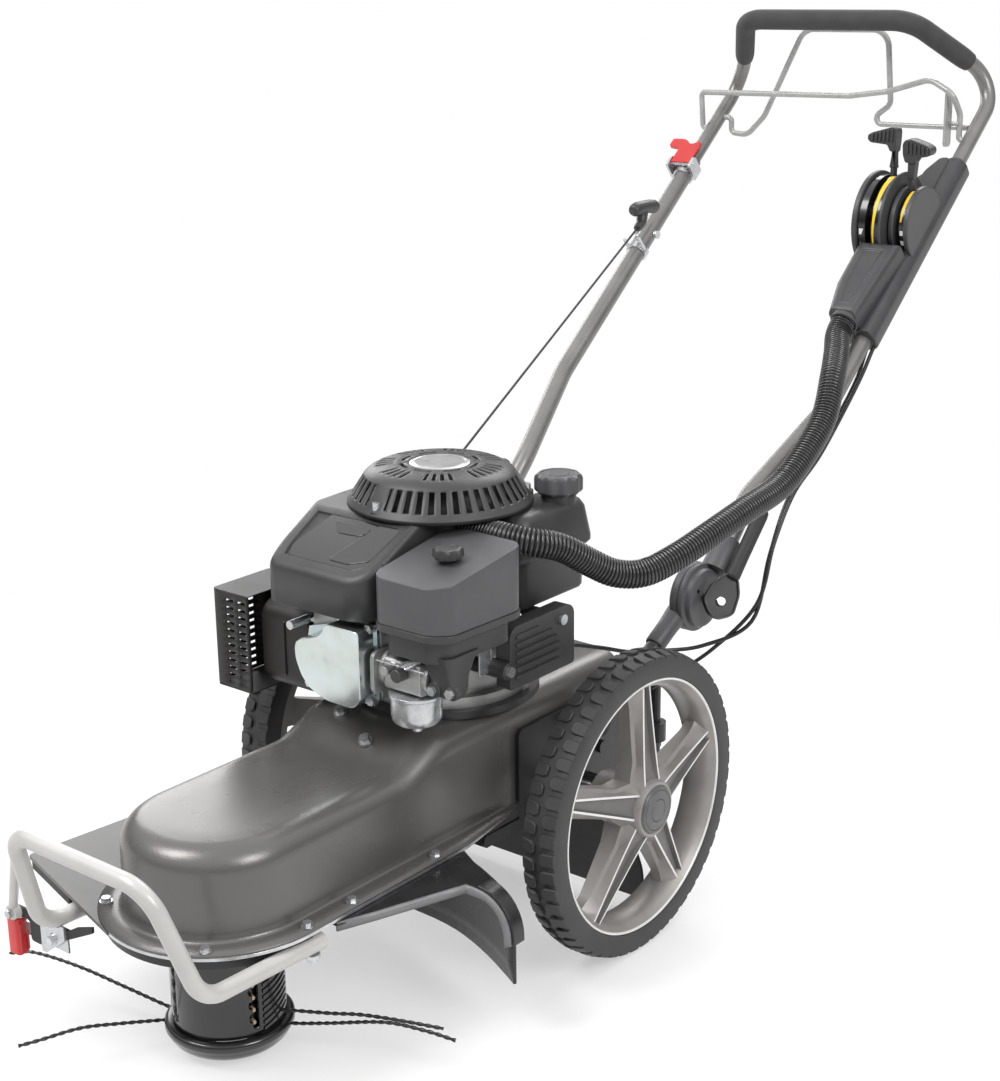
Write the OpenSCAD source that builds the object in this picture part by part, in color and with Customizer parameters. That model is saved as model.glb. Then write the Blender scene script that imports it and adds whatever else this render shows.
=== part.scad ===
// Wheeled string trimmer: two big rear wheels, a pressed deck, a vertical-shaft engine, a trimmer head and a folding handle.
// Millimetres. Front is -Y, up is +Z, the ground is z = 0 and the origin is the middle of the bottom of the box.

/* [Wheels] */
// Outside diameter of a wheel over the tread
wheel_diameter = 356; // [320:1:390]
// Width of a tyre
tyre_width = 43; // [36:1:52]
// Diameter of the rim where the tyre sits
rim_diameter = 299; // [270:1:312]
// Width over the outer faces of both wheels
track_width = 476; // [460:1:540]
// Diameter of the wheel hub
hub_diameter = 66; // [54:1:78]
// Diameter of the axle
axle_diameter = 16; // [12:1:20]
// Number of spokes in a wheel
spoke_count = 5; // [4:1:6]

/* [Deck] */
// Width of the deck between the outsides of its walls
deck_width = 200; // [188:1:212]
// Width of the bolting flange round the deck
deck_flange = 27; // [22:1:30]
// Height of the underside of the flange above the ground
deck_clearance = 168; // [164:1:176]
// Height of the deck from the underside of the flange to its top
deck_height = 98; // [92:1:104]
// Rise of the deck top under the engine
engine_step = 26; // [20:1:32]
// Radius of the long top edges of the deck
deck_round = 28; // [20:1:34]
// Thickness of the pressed sheet
sheet = 2.5; // [2:0.5:3]
// Distance from the axle forward to the trimmer head
head_distance = 427; // [415:1:450]
// Distance from the axle back to the end of the deck
deck_tail = 146; // [138:1:156]

/* [Trimmer head] */
// Diameter of the slotted drum
head_diameter = 121; // [112:1:126]
// Diameter of the ring under the drum
ring_diameter = 137; // [130:1:142]
// Diameter of a cutting line
line_diameter = 4.4; // [3:0.2:5]
// Reach of the longest cutting line from the head axis
line_reach = 272; // [240:1:285]

/* [Engine] */
// Distance from the axle forward to the crankshaft
crank_forward = 70; // [64:1:76]
// Diameter of the starter cover at its rim
starter_diameter = 210; // [200:1:216]
// Height of the starter cover above its rim
starter_height = 44; // [38:1:52]
// Diameter of the fuel cap
fuel_cap_diameter = 56; // [50:1:60]
// Diameter of the crankshaft
crank_diameter = 25; // [22:1:28]
// Width of the air filter cover
filter_width = 104; // [98:1:108]

/* [Handle] */
// Distance between the side tubes of the handle, centre to centre
handle_width = 410; // [400:1:430]
// Distance from the axle back to the rear corners of the handle
handle_reach = 885; // [860:1:920]
// Height of the rear corners of the handle above the ground
handle_corner_height = 925; // [905:1:950]
// Height of the grip bar above the ground
grip_height = 1012; // [990:1:1040]
// Distance from the axle back to the grip bar
grip_reach = 761; // [745:1:775]
// Diameter of the lower handle tubes
lower_tube = 25; // [24:0.5:26]
// Diameter of the upper handle tube
upper_tube = 20; // [18:0.5:20]
// Diameter of the foam grip
grip_diameter = 28; // [26:1:32]
// Diameter of the pivot discs
pivot_diameter = 84; // [76:1:90]
// Diameter of the bail rods
bail_rod = 8; // [7:0.5:9]

/* [Front and guards] */
// Distance from the axle forward to the bumper bar
bumper_reach = 606; // [600:1:630]
// Width of the bumper between its legs, centre to centre
bumper_width = 240; // [234:1:246]
// Diameter of the bumper tube
bumper_tube = 18; // [17:1:20]
// Height of the bumper bar above the ground
bumper_height = 281; // [265:1:300]
// Reach of the left guard plate from the middle
guard_reach = 239; // [228:1:250]
// Thickness of the rubber flaps
rubber = 4; // [3:0.5:5]

/* [Hose and cables] */
// Outside diameter of the ribbed conduit
hose_diameter = 32; // [28:1:34]
// Number of ribs on the conduit
hose_ribs = 150; // [100:1:180]
// Diameter of a control cable
cable_diameter = 5; // [4:0.5:6]
// Diameter of the starter rope
rope_diameter = 3; // [2.5:0.5:4]

/* [Clearances] */
// Radial gap between a shaft and its bore
run_gap = 0.05; // [0.02:0.01:0.1]
// Gap between moving faces that pass each other
face_gap = 0.4; // [0.3:0.1:0.8]
// Gap between fixed parts that slide together
fit_gap = 0.1; // [0.05:0.05:0.2]

/* [Hidden] */
$fn = 48;

// Main stations, measured from the axle
axle_z = wheel_diameter / 2;
head_y = -head_distance;
crank_y = -crank_forward;
half_deck = deck_width / 2;
flange_r = half_deck + deck_flange;
deck_top = deck_clearance + deck_height;
seat_z = deck_top + engine_step;
plate_t = 4;
plate_z = deck_clearance - plate_t;
// The box runs from the bumper to the rear corners of the handle, so the axle sits forward of its middle
front_end = bumper_reach + bumper_tube / 2 + 8.5;
rear_end = handle_reach - 12;
axle_y = -(rear_end - front_end) / 2;
wheel_in = track_width / 2 - tyre_width;
side_x = half_deck + 2;
side_t = 4;

// Handle stations
pivot_y = 205;
pivot_z = axle_z + 180;
pivot_x = 173;
bend_x = handle_width / 2;
bend_y = 430;
bend_z = axle_z + 371;
knee_y = 305;
knee_z = axle_z + 282;
tube_angle = atan2(handle_corner_height - bend_z, handle_reach - bend_y);
tube_len = norm([handle_reach - bend_y, handle_corner_height - bend_z]);
collar_s = tube_len - 178;
grip_half = 128.5 * handle_width / 410;
function on_s(s, n) = [bend_y + s * cos(tube_angle) - n * sin(tube_angle), bend_z + s * sin(tube_angle) + n * cos(tube_angle)];
bail_a = on_s(tube_len - 110, 0);
bail_b = on_s(tube_len - 86, 0);

// Belt drive
pulley_z = deck_clearance + 58;
head_pulley_r = 46;
crank_pulley_r = 38;

module placed() { translate([0, axle_y, 0]) children(); }
module at_engine() { translate([0, crank_y, seat_z]) children(); }
module at_head() { translate([0, head_y, 0]) children(); }
module on_tube() { translate([0, bend_y, bend_z]) rotate([tube_angle, 0, 0]) children(); }
module both() { children(); mirror([1, 0, 0]) children(); }

// Helpers: rounded plates, boxes rounded about each axis, rods and bent tubes; a bend is a hair thicker than its straights, which run into it
module rrect(x0, x1, y0, y1, r) {
  translate([x0 + r, y0]) square([x1 - x0 - 2 * r, y1 - y0]);
  translate([x0, y0 + r]) square([x1 - x0, y1 - y0 - 2 * r]);
  for (x = [x0 + r, x1 - r], y = [y0 + r, y1 - r]) translate([x, y]) circle(r);
}
module zbox(x0, x1, y0, y1, z0, z1, r) { translate([0, 0, z0]) linear_extrude(z1 - z0) rrect(x0, x1, y0, y1, r); }
module ybox(x0, x1, y0, y1, z0, z1, r) { translate([0, y1, 0]) rotate([90, 0, 0]) linear_extrude(y1 - y0) rrect(x0, x1, z0, z1, r); }
module xbox(x0, x1, y0, y1, z0, z1, r) { translate([x0, 0, 0]) rotate([90, 0, 90]) linear_extrude(x1 - x0) rrect(y0, y1, z0, z1, r); }
module xrod(x0, x1, y, z, r) { translate([x0, y, z]) rotate([0, 90, 0]) cylinder(h = x1 - x0, r = r); }
module yrod(y0, y1, x, z, r) { translate([x, y1, z]) rotate([90, 0, 0]) cylinder(h = y1 - y0, r = r); }
function unit(v) = v / norm(v);
function spin_to(d) = [0, acos(d[2] / norm(d)), atan2(d[1], d[0])];
module rod(a, b, r) { translate(a) rotate(spin_to(b - a)) cylinder(h = norm(b - a), r = r); }
module elbow(a, b, c, rad, r) {
  u = unit(a - b); v = unit(c - b);
  turn = 180 - acos(u * v);
  s = b + u * rad * tan(turn / 2);
  mid = b + unit(u + v) * rad / cos(turn / 2);
  e1 = (s - mid) / rad; e2 = -u; e3 = cross(e1, e2);
  multmatrix([[e1[0], e2[0], e3[0], mid[0]], [e1[1], e2[1], e3[1], mid[1]], [e1[2], e2[2], e3[2], mid[2]], [0, 0, 0, 1]])
    rotate_extrude(angle = turn) translate([rad, 0]) circle(r + 0.04);
}
function bend_r(rad, i) = is_list(rad) ? rad[i] : rad;
function cut_len(p, i, rad) = (i == 0 || i == len(p) - 1) ? 0 : bend_r(rad, i) * tan((180 - acos(unit(p[i - 1] - p[i]) * unit(p[i + 1] - p[i]))) / 2);
module bent(p, rad, r) {
  for (i = [0 : len(p) - 2]) {
    d = unit(p[i + 1] - p[i]);
    rod(p[i] + d * (cut_len(p, i, rad) - (i == 0 ? 0 : 0.6)), p[i + 1] - d * (cut_len(p, i + 1, rad) - (i == len(p) - 2 ? 0 : 0.6)), r);
  }
  for (i = [1 : len(p) - 2]) elbow(p[i - 1], p[i], p[i + 1], bend_r(rad, i), r);
}
function longer(p, d) = let (n = len(p) - 1) concat([p[0] + d * unit(p[0] - p[1])], [for (i = [1 : n - 1]) p[i]], [p[n] + d * unit(p[n] - p[n - 1])]);
module hex_bolt(d, head, long) {
  cylinder(h = head * 0.35, r = d * 1.15);
  cylinder(h = head, r = d * 0.85, $fn = 6);
  translate([0, 0, -long]) cylinder(h = long + 0.01, r = d / 2);
}

// Helpers: smooth routes for hose, cables, rope and lines
function spline(p, i, t) = let (a = p[max(i - 1, 0)], b = p[i], c = p[i + 1], d = p[min(i + 2, len(p) - 1)])
  0.5 * (2 * b + (c - a) * t + (2 * a - 5 * b + 4 * c - d) * t * t + (3 * b - a - 3 * c + d) * t * t * t);
function route(p, n) = concat([for (i = [0 : len(p) - 2]) for (k = [0 : n - 1]) spline(p, i, k / n)], [p[len(p) - 1]]);
function sums(p, i = 1, acc = [0]) = i >= len(p) ? acc : sums(p, i + 1, concat(acc, [acc[i - 1] + norm(p[i] - p[i - 1])]));
function even(p, n) = let (s = sums(p), total = s[len(s) - 1], k = [for (j = [0 : 2]) [for (i = [0 : len(p) - 1]) [s[i], p[i][j]]]])
  [for (i = [0 : n]) [for (j = [0 : 2]) lookup(total * i / n, k[j])]];
function along(p, i) = unit(p[min(i + 1, len(p) - 1)] - p[max(i - 1, 0)]);
function ring_at(p, i, ref, r, n) = let (t = along(p, i), a = unit(ref - (ref * t) * t), b = cross(t, a))
  [for (k = [0 : n - 1]) p[i] + r * (cos(360 * k / n) * a + sin(360 * k / n) * b)];
function skin(first, rings, n, flip) = [for (i = [0 : rings - 2]) for (k = [0 : n - 1]) let (a = first + i * n + k, b = first + i * n + (k + 1) % n)
  flip ? [a, a + n, b + n, b] : [a, b, b + n, a + n]];
module cord(p, ref, r, n) {
  m = len(p);
  pts = [for (i = [0 : m - 1]) each ring_at(p, i, ref, r, n)];
  faces = concat([[for (k = [0 : n - 1]) n - 1 - k]], skin(0, m, n, false), [[for (k = [0 : n - 1]) (m - 1) * n + k]]);
  polyhedron(points = pts, faces = [for (f = faces) [for (k = [len(f) - 1 : -1 : 0]) f[k]]], convexity = 6);
}

// Deck: one long pressed shell with a round nose and a raised rear part
function top_round(w, h, f) = [for (i = [0 : 8]) [w - f + f * sin(i * 11.25), h - f + f * cos(i * 11.25)]];
module half_hat(w, h, f, z0) { polygon(concat([[0, h]], top_round(w, h, f), [[w, z0], [0, z0]])); }
module hat_run(w, h, f, z0, y0, y1) { translate([0, y1, 0]) rotate([90, 0, 0]) linear_extrude(y1 - y0) { half_hat(w, h, f, z0); mirror([1, 0]) half_hat(w, h, f, z0); } }
module hat_nose(w, h, f, z0) { translate([0, head_y, 0]) rotate([0, 0, 180]) rotate_extrude(angle = 180) half_hat(w, h, f, z0); }
ramp_y = crank_y - 186;
module ramp_side(drop) { translate([-200, 0, 0]) rotate([90, 0, 90]) linear_extrude(400) polygon([[ramp_y, 0], [ramp_y, deck_top - drop], [ramp_y + 70, seat_z - drop], [deck_tail, seat_z - drop], [deck_tail, 0]]); }
module deck_solid(w, drop, tail) {
  f = deck_round - drop;
  hat_nose(w, deck_top - drop, f, deck_clearance);
  hat_run(w, deck_top - drop, f, deck_clearance, head_y, ramp_y + 60);
  intersection() { hat_run(w, seat_z - drop, f, deck_clearance, ramp_y, tail); ramp_side(drop); }
}
module flange_plan(grow) {
  w = flange_r + grow;
  translate([0, head_y]) circle(w);
  polygon([[-w, head_y], [w, head_y], [w, crank_y - 110], [half_deck + 12 + grow, crank_y - 8], [-half_deck - 12 - grow, crank_y - 8], [-w, crank_y - 110]]);
}
bolt_angles = [-44, 39, 92, 150 - 20, -92, -130];
module deck_shell() color("dimgray") placed() difference() {
  union() {
    deck_solid(half_deck, 0, deck_tail);
    translate([0, 0, deck_clearance]) linear_extrude(sheet) flange_plan(0);
  }
  translate([0, 0, -0.01]) deck_solid(half_deck - sheet, sheet, deck_tail - sheet);
  at_engine() translate([0, 0, -20]) cylinder(h = 40, r = 50);
  translate([-200, -axle_diameter / 2 - 14, deck_clearance - 5]) cube([400, axle_diameter + 28, axle_z - deck_clearance + axle_diameter / 2 + 20]);
  for (p = flange_bolts) translate([p[0], p[1], deck_clearance - 1]) cylinder(h = 10, r = 3.1);
  for (p = ramp_bolts) on_ramp(p) translate([0, 0, -15]) cylinder(h = 30, r = 3.6);
}
ramp_bolts = [[20, 30], [-42, 56]];
module on_ramp(p) { translate([p[0], ramp_y + p[1], deck_top + engine_step * p[1] / 70]) rotate([atan2(engine_step, 70), 0, 0]) children(); }
flange_bolts = concat([for (a = [-44, 39, 92, -92]) [(half_deck + 18.5) * sin(a), head_y - (half_deck + 18.5) * cos(a)]],
  [for (x = [-1, 1], y = [head_y + 69, head_y + 200]) [x * (half_deck + 18.5), y]]);

// Base plate under the deck with a rolled lip round the nose
module deck_base_plate() color("silver") placed() difference() {
  union() {
    translate([0, 0, plate_z]) linear_extrude(plate_t) intersection() { flange_plan(-1); translate([-200, head_y - 200]) square([400, head_distance - crank_forward + 170]); }
    translate([0, head_y, plate_z - 11]) rotate([0, 0, -140]) rotate_extrude(angle = 100) translate([flange_r - 9, 0]) square([4, 11.01]);
  }
  at_head() translate([0, 0, 100]) cylinder(h = 100, r = 26 + fit_gap);
  for (p = flange_bolts) translate([p[0], p[1], plate_z - 1]) cylinder(h = 10, r = 3.1);
  translate([-60, crank_y - 60, plate_z - 1]) cube([120, 120, 10]);
}
module deck_bolts() color("lightgray") placed() {
  for (p = flange_bolts) translate([p[0], p[1], deck_clearance + sheet]) hex_bolt(6, 6, sheet + plate_t - 0.2);
  for (s = [-1, 1]) translate([s * bumper_width / 2, head_y + 8, leg_z(head_y + 8) - bumper_tube / 2 - 4.4]) { cylinder(h = 4, r = 8); translate([0, 0, -5]) cylinder(h = 5.01, r = 5.5, $fn = 6); }
  for (p = ramp_bolts) on_ramp(p) translate([0, 0, 0.05]) hex_bolt(7, 9, 12);
}
module mount_ring() color([0.09, 0.09, 0.09]) placed() at_engine() difference() {
  cylinder(h = 8, r = 110);
  translate([0, 0, -1]) cylinder(h = 10, r = 62);
}

// Front bumper: one bent tube with a strut down to the line knife
function leg_z(y) = plate_z - bumper_tube / 2 - 6 + 6 * (head_y + 20 - y) / 160;
leg_front = -bumper_reach + 40;
bumper_path = [[bumper_width / 2, head_y + 22, leg_z(head_y + 22)], [bumper_width / 2, leg_front, leg_z(leg_front)], [bumper_width / 2 - 20, -bumper_reach, bumper_height],
  [-bumper_width / 2 + 20, -bumper_reach, bumper_height], [-bumper_width / 2, leg_front, leg_z(leg_front)], [-bumper_width / 2, head_y + 22, leg_z(head_y + 22)]];
knife_x = -bumper_width / 2 - 69;
knife_y = head_y - 123;
knife_z = plate_z - 23;
module front_bumper() color("lightgray") placed() difference() {
  union() {
    bent(bumper_path, 36, bumper_tube / 2);
    rod([-bumper_width / 2 + 14, -bumper_reach + 8, bumper_height - 24], [knife_x + 1, knife_y - 1, knife_z + 8.5], 5);
    translate([knife_x, knife_y + 3.9, knife_z]) rotate([90, 0, 0]) cylinder(h = 8, r = 8.4);
  }
  bent(longer(bumper_path, 4), 36, bumper_tube / 2 - 2);
}

// Left guard plate with its rubber skirt, the line knife and its red cover
guard_pts = [[-guard_reach, head_y - 64], [-40, head_y - 127.8], [-20, head_y - 60], [-40, head_y + 190], [-guard_reach * 0.885, head_y + 190]];
module guard_plate() color("gray") placed() translate([0, 0, plate_z]) linear_extrude(plate_t) difference() {
  polygon(guard_pts);
  flange_plan(fit_gap - 1);
}
skirt_a = guard_pts[0];
skirt_b = guard_pts[1];
skirt_dir = unit(skirt_b - skirt_a);
// The skirt stops short of the bumper leg, and the knife and its cover hang from that end
skirt_end = (-bumper_width / 2 - bumper_tube / 2 - 7 - skirt_a[0]) / skirt_dir[0];
module along_skirt() { translate([skirt_a[0], skirt_a[1], 0]) rotate([0, 0, atan2(skirt_dir[1], skirt_dir[0])]) children(); }
module upright(y, t) { translate([0, y + t, 0]) rotate([90, 0, 0]) linear_extrude(t) children(); }
module guard_skirt() color([0.07, 0.07, 0.07]) placed() {
  along_skirt() translate([0, 6, 0]) rotate([90, 0, 0]) linear_extrude(rubber)
    polygon([[4, plate_z - 12], [skirt_end, plate_z - 12], [skirt_end, plate_z - 0.05], [4, plate_z - 0.05]]);
  // A second rubber flap hangs behind the knife bracket, clear of the bumper leg
  upright(knife_y + 4, rubber) polygon([[-66, plate_z - 3], [-66, plate_z - 10], [-109, plate_z - 32], [-150, plate_z - 52], [knife_x + 20, plate_z - 52], [knife_x + 20, knife_z - 6],
    [knife_x - 1, knife_z - 6], [knife_x - 1, knife_z + 5], [knife_x + 13, knife_z + 5], [-150, leg_under], [-105, leg_under], [-92, plate_z - 12]]);
}
leg_under = leg_z(knife_y + 4) - bumper_tube / 2 - 0.8;
module line_knife() color("silver") placed() {
  difference() {
    upright(knife_y + 0.9, 3) polygon([[-147, plate_z - 55], [-140, plate_z - 55], [-108, plate_z - 31], [-108, plate_z - 16], [-147, plate_z - 16]]);
    rod([-bumper_width / 2, knife_y - 20, leg_z(knife_y - 20)], [-bumper_width / 2, knife_y + 20, leg_z(knife_y + 20)], bumper_tube / 2 + 0.3);
  }
  translate([-128, knife_y + 0.9, plate_z - 36]) rotate([90, 0, 0]) hex_bolt(5.8, 5, 2.9);
  translate([knife_x, knife_y - 4.2, knife_z]) rotate([90, 0, 0]) cylinder(h = 5, r = 4.8, $fn = 6);
  upright(knife_y + 4.1 + rubber, 2) polygon([[knife_x - 12, plate_z - 50], [-112, plate_z - 50], [-112, plate_z - 35], [knife_x - 12, plate_z - 35]]);
}
module knife_cover() color("red") placed() difference() {
  translate([0, 0, plate_z - 74]) linear_extrude(42.4) rrect(knife_x - 14, knife_x + 16, knife_y - 2, knife_y + 14, 4);
  upright(knife_y + 3.7 + rubber, 2.8) polygon([[knife_x - 12.5, plate_z - 50.5], [knife_x + 30, plate_z - 50.5], [knife_x + 30, plate_z - 34.5], [knife_x - 12.5, plate_z - 34.5]]);
}

// Right debris shield: a strip along the flange with its end turned down, and a tall wall curved round behind the head
shield_wall = [[-76, 244], [-40, 243], [-14, 241.5], [12, 237.4], [44, 228], [75.5, 215.5], [106, 201], [138, 184]];
function wall_at(p, g) = [half_deck + p[0] + 0.4 * g, head_y + p[1] + 0.92 * g];
function arch(x1, z1, r) = [for (i = [0 : 8]) [x1 - r + r * sin(i * 11.25), z1 - r + r * cos(i * 11.25)]];
module debris_shield() color([0.1, 0.1, 0.1]) placed() {
  z1 = plate_z - 0.2;
  x1 = half_deck + 138;
  translate([0, 0, z1 - 4]) linear_extrude(4) difference() {
    polygon([[half_deck + 8, head_y + 36], [flange_r + 1, head_y + 36], [flange_r + 32, head_y + 124], [flange_r + 51, head_y + 180], [x1 - 46, head_y + 180], [x1 - 46, head_y + 203], [half_deck + 16, head_y + 245], [half_deck + 8, head_y + 247]]);
    for (p = flange_bolts) translate(p) circle(4);
  }
  translate([0, 0, z1 - 14]) linear_extrude(10.01) polygon([[flange_r - 2, head_y + 38], [flange_r + 1, head_y + 36], [flange_r + 32, head_y + 124], [flange_r + 51, head_y + 180], [x1 - 46, head_y + 180], [x1 - 46, head_y + 183.5], [flange_r + 48.5, head_y + 183.5], [flange_r + 28.5, head_y + 125]]);
  translate([0, head_y + 203, 0]) rotate([90, 0, 0]) linear_extrude(23) polygon(concat([[x1 - 47, z1 - 4], [x1 - 47, z1]], arch(x1, z1, 46), [[x1, z1 - 52], [x1 - 3.5, z1 - 52]], [for (i = [8 : -1 : 0]) arch(x1 - 3.5, z1 - 3.5, 42.5)[i]]));
  intersection() {
    translate([0, 0, z1 - 99.8]) linear_extrude(99) polygon(concat([for (p = shield_wall) wall_at(p, 0)], [for (i = [len(shield_wall) - 1 : -1 : 0]) wall_at(shield_wall[i], 3.5)]));
    translate([0, head_y + 300, 0]) rotate([90, 0, 0]) linear_extrude(200) polygon(concat([[-half_deck, 10], [-half_deck, z1 - 1.5]], arch(x1 - 1.5, z1 - 1.5, 44.5), [[x1 - 1.5, 10]]));
  }
}

// Chassis: two side plates that carry the axle, cross plates and the rear post; the flap hangs behind the axle
bearing_r = axle_diameter / 2 + 6;
module side_plate() {
  difference() {
    union() {
      xbox(side_x, side_x + side_t, crank_y + 4, deck_tail + 40, axle_z - 42, seat_z - 34, 8);
      xbox(side_x, side_x + side_t, crank_y - 60, deck_tail + 40, axle_z - 42, plate_z - 14, 6);
      xrod(side_x - 6, side_x + 16, 0, axle_z, bearing_r + 6);
    }
    xrod(side_x - 10, side_x + 40, 0, axle_z, axle_diameter / 2 + fit_gap);
    xbox(side_x - 1, side_x + side_t + 1, 30, 100, plate_z + 44, seat_z - 60, 8);
  }
  xrod(side_x + side_t, side_x + side_t + 5, 92, axle_z + 8, 8);
}
module chassis_frame() color([0.08, 0.08, 0.08]) placed() {
  both() side_plate();
  translate([-side_x, deck_tail + 34, axle_z - 42]) cube([2 * side_x, 4, 84]);
  translate([-side_x, crank_y - 56, axle_z - 42]) cube([2 * side_x, 4, 26]);
  translate([-side_x - 50, 66, axle_z - 34]) cube([2 * side_x + 100, 5, 16]);
  translate([side_x + 1, deck_tail + 40 - 0.01, axle_z - 30]) cube([12, 24, 22]);
  translate([side_x + 7, deck_tail + 58, axle_z - 40]) cylinder(h = 96, r = 7);
  translate([side_x + 7, deck_tail + 58, axle_z - 20]) cylinder(h = 24, r = 14);
}
module rear_flap() color([0.06, 0.06, 0.06]) placed() translate([0, 66, 0]) rotate([90, 0, 0]) linear_extrude(rubber) difference() {
  polygon([[-side_x - 50, axle_z - 18], [-wheel_in + 8, 50], [-wheel_in + 14, 14], [wheel_in - 14, 14], [wheel_in - 8, 50], [side_x + 50, axle_z - 18]]);
  for (x = [-side_x - side_t, side_x]) translate([x - 0.3, axle_z - 42.3]) square([side_t + 0.6, 60]);
}
axle_half = track_width / 2 - 12;
module axle() color("silver") placed() xrod(-axle_half, axle_half, 0, axle_z, axle_diameter / 2);
module gearbox() color([0.55, 0.55, 0.57]) placed() difference() {
  union() {
    xbox(-34, 34, -36, 36, axle_z - 28, axle_z + 30, 12);
    translate([0, 18, axle_z + 29]) cylinder(h = 18, r = 20);
    xrod(-46, 46, 0, axle_z, 20);
    translate([30, -20, axle_z - 8]) cube([side_x - 36.1, 6, 16]);
    translate([6.1 - side_x, -20, axle_z - 8]) cube([side_x - 36.1, 6, 16]);
  }
  xrod(-60, 60, 0, axle_z, axle_diameter / 2 + fit_gap);
}

// Wheels: tyre, spoked rim and hub cap, drawn on the right and mirrored to the left
wheel_out = track_width / 2;
tyre_r = wheel_diameter / 2;
rim_r = rim_diameter / 2;
module tyre() translate([wheel_in, 0, axle_z]) rotate([0, 90, 0]) rotate_extrude($fn = 96)
  polygon([[rim_r, 0], [tyre_r - 5, 0], [tyre_r - 1, 3], [tyre_r, 9], [tyre_r, tyre_width - 9], [tyre_r - 1, tyre_width - 3], [tyre_r - 5, tyre_width], [rim_r, tyre_width]]);
module spoke2d() { polygon([[-19, 20], [-15, rim_r - 8], [15, rim_r - 8], [19, 20]]); }
module rim() translate([wheel_in, 0, axle_z]) rotate([90, 0, 90]) difference() {
  union() {
    translate([0, 0, 2]) linear_extrude(tyre_width - 3) difference() { circle(rim_r - fit_gap / 2, $fn = 96); circle(rim_r - 12, $fn = 96); }
    translate([0, 0, tyre_width - 16]) linear_extrude(15) difference() { circle(rim_r - 4, $fn = 96); circle(rim_r - 20, $fn = 96); }
    for (k = [0 : spoke_count - 1]) rotate([0, 0, 360 * k / spoke_count - 2]) translate([0, 0, 14]) linear_extrude(20) spoke2d();
    translate([0, 0, -22]) cylinder(h = tyre_width + 34, r = hub_diameter / 2);
  }
  translate([0, 0, -40]) cylinder(h = 200, r = axle_diameter / 2 + run_gap);
  translate([0, 0, tyre_width + 2]) cylinder(h = 20, r = hub_diameter / 2 - 4);
}
module hub_cap() translate([wheel_out + 2 + fit_gap, 0, axle_z]) rotate([0, 90, 0]) {
  cylinder(h = 10, r = hub_diameter / 2 - 4 - fit_gap);
  translate([0, 0, 9.99]) cylinder(h = 3, r1 = hub_diameter / 2 - 4 - fit_gap, r2 = hub_diameter / 2 - 9);
}
module tyre_right() color([0.08, 0.08, 0.08]) placed() tyre();
module tyre_left() color([0.08, 0.08, 0.08]) placed() mirror([1, 0, 0]) tyre();
module rim_right() color([0.55, 0.53, 0.51]) placed() rim();
module rim_left() color([0.55, 0.53, 0.51]) placed() mirror([1, 0, 0]) rim();
module hub_cap_right() color([0.25, 0.25, 0.26]) placed() hub_cap();
module hub_cap_left() color([0.25, 0.25, 0.26]) placed() mirror([1, 0, 0]) hub_cap();

// Trimmer head: housing in the base plate, spindle with its pulley, slotted drum, dome and four lines
spindle_r = 10;
drum_r = head_diameter / 2;
drum_z0 = 34;
drum_z1 = plate_z - 14;
module spindle_housing() color([0.5, 0.5, 0.52]) placed() at_head() difference() {
  union() {
    translate([0, 0, plate_z - 10]) cylinder(h = 52, r = 26);
    translate([0, 0, deck_clearance]) cylinder(h = 9, r = 56);
  }
  translate([0, 0, plate_z - 20]) cylinder(h = 100, r = spindle_r + run_gap);
}
module pulley(r, z) { translate([0, 0, z]) rotate_extrude() polygon([[spindle_r - 2, -9], [r, -9], [r, -7], [r - 7, -3], [r - 7, 3], [r, 7], [r, 9], [spindle_r - 2, 9]]); }
module spindle() color("silver") placed() at_head() {
  translate([0, 0, drum_z0 + 6]) cylinder(h = pulley_z + 14 - drum_z0 - 6, r = spindle_r);
  pulley(head_pulley_r, pulley_z);
}
line_ang = [205, 222, 20, 28];
line_z = [46, 40, 42, 38];
module head_drum() color([0.06, 0.06, 0.06]) placed() at_head() difference() {
  union() {
    translate([0, 0, drum_z0]) cylinder(h = drum_z1 - drum_z0, r = drum_r);
  }
  translate([0, 0, drum_z0 - 1]) cylinder(h = drum_z1 - drum_z0 - 9, r = drum_r - 9);
  translate([0, 0, 0]) cylinder(h = 200, r = spindle_r + fit_gap);
  for (i = [0 : 3]) rotate([0, 0, line_ang[i]]) translate([drum_r - 14, 0, line_z[i]]) rotate([0, 90, 0]) cylinder(h = 20, r = line_diameter / 2 + 0.6);
}
module head_dome() color([0.05, 0.05, 0.05]) placed() at_head() difference() {
  rotate_extrude($fn = 72) polygon(concat([[0, 0], [16, 0]], [for (i = [1 : 8]) [16 + (ring_diameter / 2 - 19) * sin(i * 11.25), 24 - 24 * cos(i * 11.25)]], [[ring_diameter / 2, 24], [ring_diameter / 2, 31], [drum_r + 3, drum_z0], [0, drum_z0]]));
  translate([0, 0, 14]) cylinder(h = 60, r = drum_r - 16);
  translate([0, 0, 6]) cylinder(h = 60, r = 8);
}
// Each line leaves its hole square and bends round as it goes out
function line_pts(i, reach, turn, rise) = [for (k = [0 : 5]) let (a = line_ang[i] + turn * pow(k / 5, 1.5), r = drum_r - 6 + (reach - drum_r + 6) * k / 5)
  [r * cos(k < 2 ? line_ang[i] : a), r * sin(k < 2 ? line_ang[i] : a), line_z[i] + (k < 2 ? 0 : rise * (k - 1) / 4)]];
line_set = [[line_reach, -6, 14], [line_reach - 44, 16, 0], [line_reach - 34, 6, -2], [line_reach - 18, -6, -4]];
module trimmer_lines() color([0.03, 0.03, 0.03]) placed() at_head()
  for (i = [0 : 3]) cord(even(route(line_pts(i, line_set[i][0], line_set[i][1], line_set[i][2]), 6), 15), [0, 0, 1], line_diameter / 2, 8);

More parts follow.
